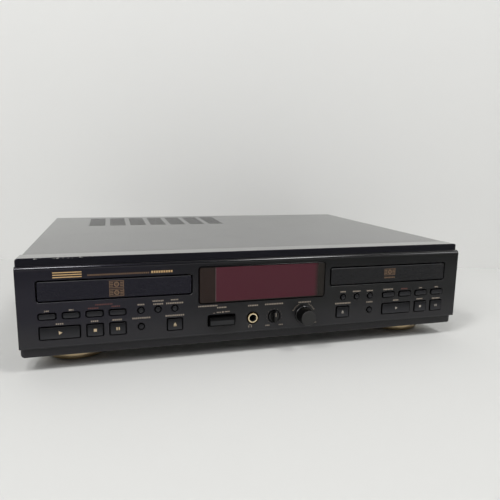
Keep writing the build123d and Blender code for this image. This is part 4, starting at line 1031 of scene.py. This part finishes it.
# strengths of the room light and how it fades with the direction's height, leaning to the front
roomLook = {"dim": 0.09, "bright": 0.14, "fade": (-0.45, 0.75), "lean": 0.3,
            "horizon": 0.70, "horizonFade": (0.15, 0.60)}
lamps = {
    # name: place in m, point it looks at, size in m, power in W
    "ceilingLeft": ((-0.43, -1.0, 2.0), (-0.2, -0.1, 0.0), 0.32, 9.0),
    "ceilingRight": ((0.83, -1.0, 2.0), (0.2, -0.1, 0.0), 0.52, 15.0),
    "sideLamp": ((-1.2, -1.0, 1.9), (0.0, 0.0, 0.0), 0.45, 16.5),
    "leftLamp": ((-2.2, -1.6, 1.7), (0.0, 0.0, 0.0), 1.2, 29.0),
    "rightLamp": ((2.3, -1.6, 1.7), (0.0, 0.0, 0.0), 1.2, 18.5),
}


def paleFinish(name, colour):
    look = stageLook
    pale = Finish(name, colour, look["roughness"])
    cloud = pale.noise(look["cloud"], 2.0) * look["cloudShare"]
    second = tuple(share * look["cloudTone"] for share in colour)
    pale.feed("Base Color", pale.mix(cloud, colour, second))
    return pale


def lightPath(sheet, kind):
    return sheet.node("ShaderNodeLightPath", output=f"Is {kind} Ray")


def openFromBehind(pale):
    # the backdrop casts no shadow and doesn't hide the recorder when it is looked at from the back
    behind = pale.node("ShaderNodeNewGeometry", output="Backfacing") * lightPath(pale, "Camera")
    mixed = pale.node("ShaderNodeMixShader", values={
        0: behind | lightPath(pale, "Shadow"), 1: Wire(pale, pale.shader.outputs[0]),
        2: pale.node("ShaderNodeBsdfTransparent")})
    pale.join(pale.nodes["Material Output"].inputs["Surface"], mixed)


def makeStage():
    selectNothing()
    bpy.ops.mesh.primitive_plane_add(size=stageLook["size"], location=(0, 0, 0))
    floor = bpy.context.object
    floor.name = "floor"
    floor.data.materials.append(paleFinish("paleFloor", stageLook["floor"]).material)
    selectNothing()
    wallX, wallY = (v * mm for v in stageLook["wallSpot"])
    bpy.ops.mesh.primitive_plane_add(size=stageLook["size"], location=(wallX, wallY, 0),
                                     rotation=(math.pi / 2, 0, math.radians(stageLook["wallTurn"])))
    wall = bpy.context.object
    wall.name = "backdrop"
    paleWall = paleFinish("paleWall", stageLook["wall"])
    openFromBehind(paleWall)
    wall.data.materials.append(paleWall.material)


def makeLight():
    # a dim room light, brighter from above and from the front, with soft lamps above and in front
    look = roomLook
    world = bpy.data.worlds.new("room")
    bpy.context.scene.world = world
    world.use_nodes = True
    sky = Sheet(world.node_tree)
    ray = sky.node("ShaderNodeTexCoord", output="Generated")
    up = sky.node("ShaderNodeSeparateXYZ", values={0: ray}, output=2)
    ahead = sky.node("ShaderNodeSeparateXYZ", values={0: ray}, output=1)
    share = sky.between(up - ahead * look["lean"], *look["fade"])
    lit = share * (look["bright"] - look["dim"]) + look["dim"]
    # what is seen past the stage, directly or in a gloss, is pale near the horizon
    above = sky.between(up, *look["horizonFade"])
    shown = look["horizon"] - above * (look["horizon"] - look["dim"])
    seen = lightPath(sky, "Camera") | lightPath(sky, "Glossy") | lightPath(sky, "Transmission")
    background = world.node_tree.nodes["Background"]
    background.inputs["Color"].default_value = (1.0, 1.0, 1.0, 1.0)
    sky.join(background.inputs["Strength"], seen * shown + (1 - seen) * lit)
    for name, (spot, target, size, power) in lamps.items():
        data = bpy.data.lights.new(name, "AREA")
        data.shape = "SQUARE"
        data.size = size
        data.energy = power
        lamp = bpy.data.objects.new(name, data)
        lamp.location = spot
        lamp.rotation_euler = (Vector(target) - Vector(spot)).to_track_quat("-Z", "Y").to_euler()
        bpy.context.scene.collection.objects.link(lamp)


makeStage()
makeLight()
bpy.context.scene.view_settings.view_transform = "Standard"
print("stage and light set")
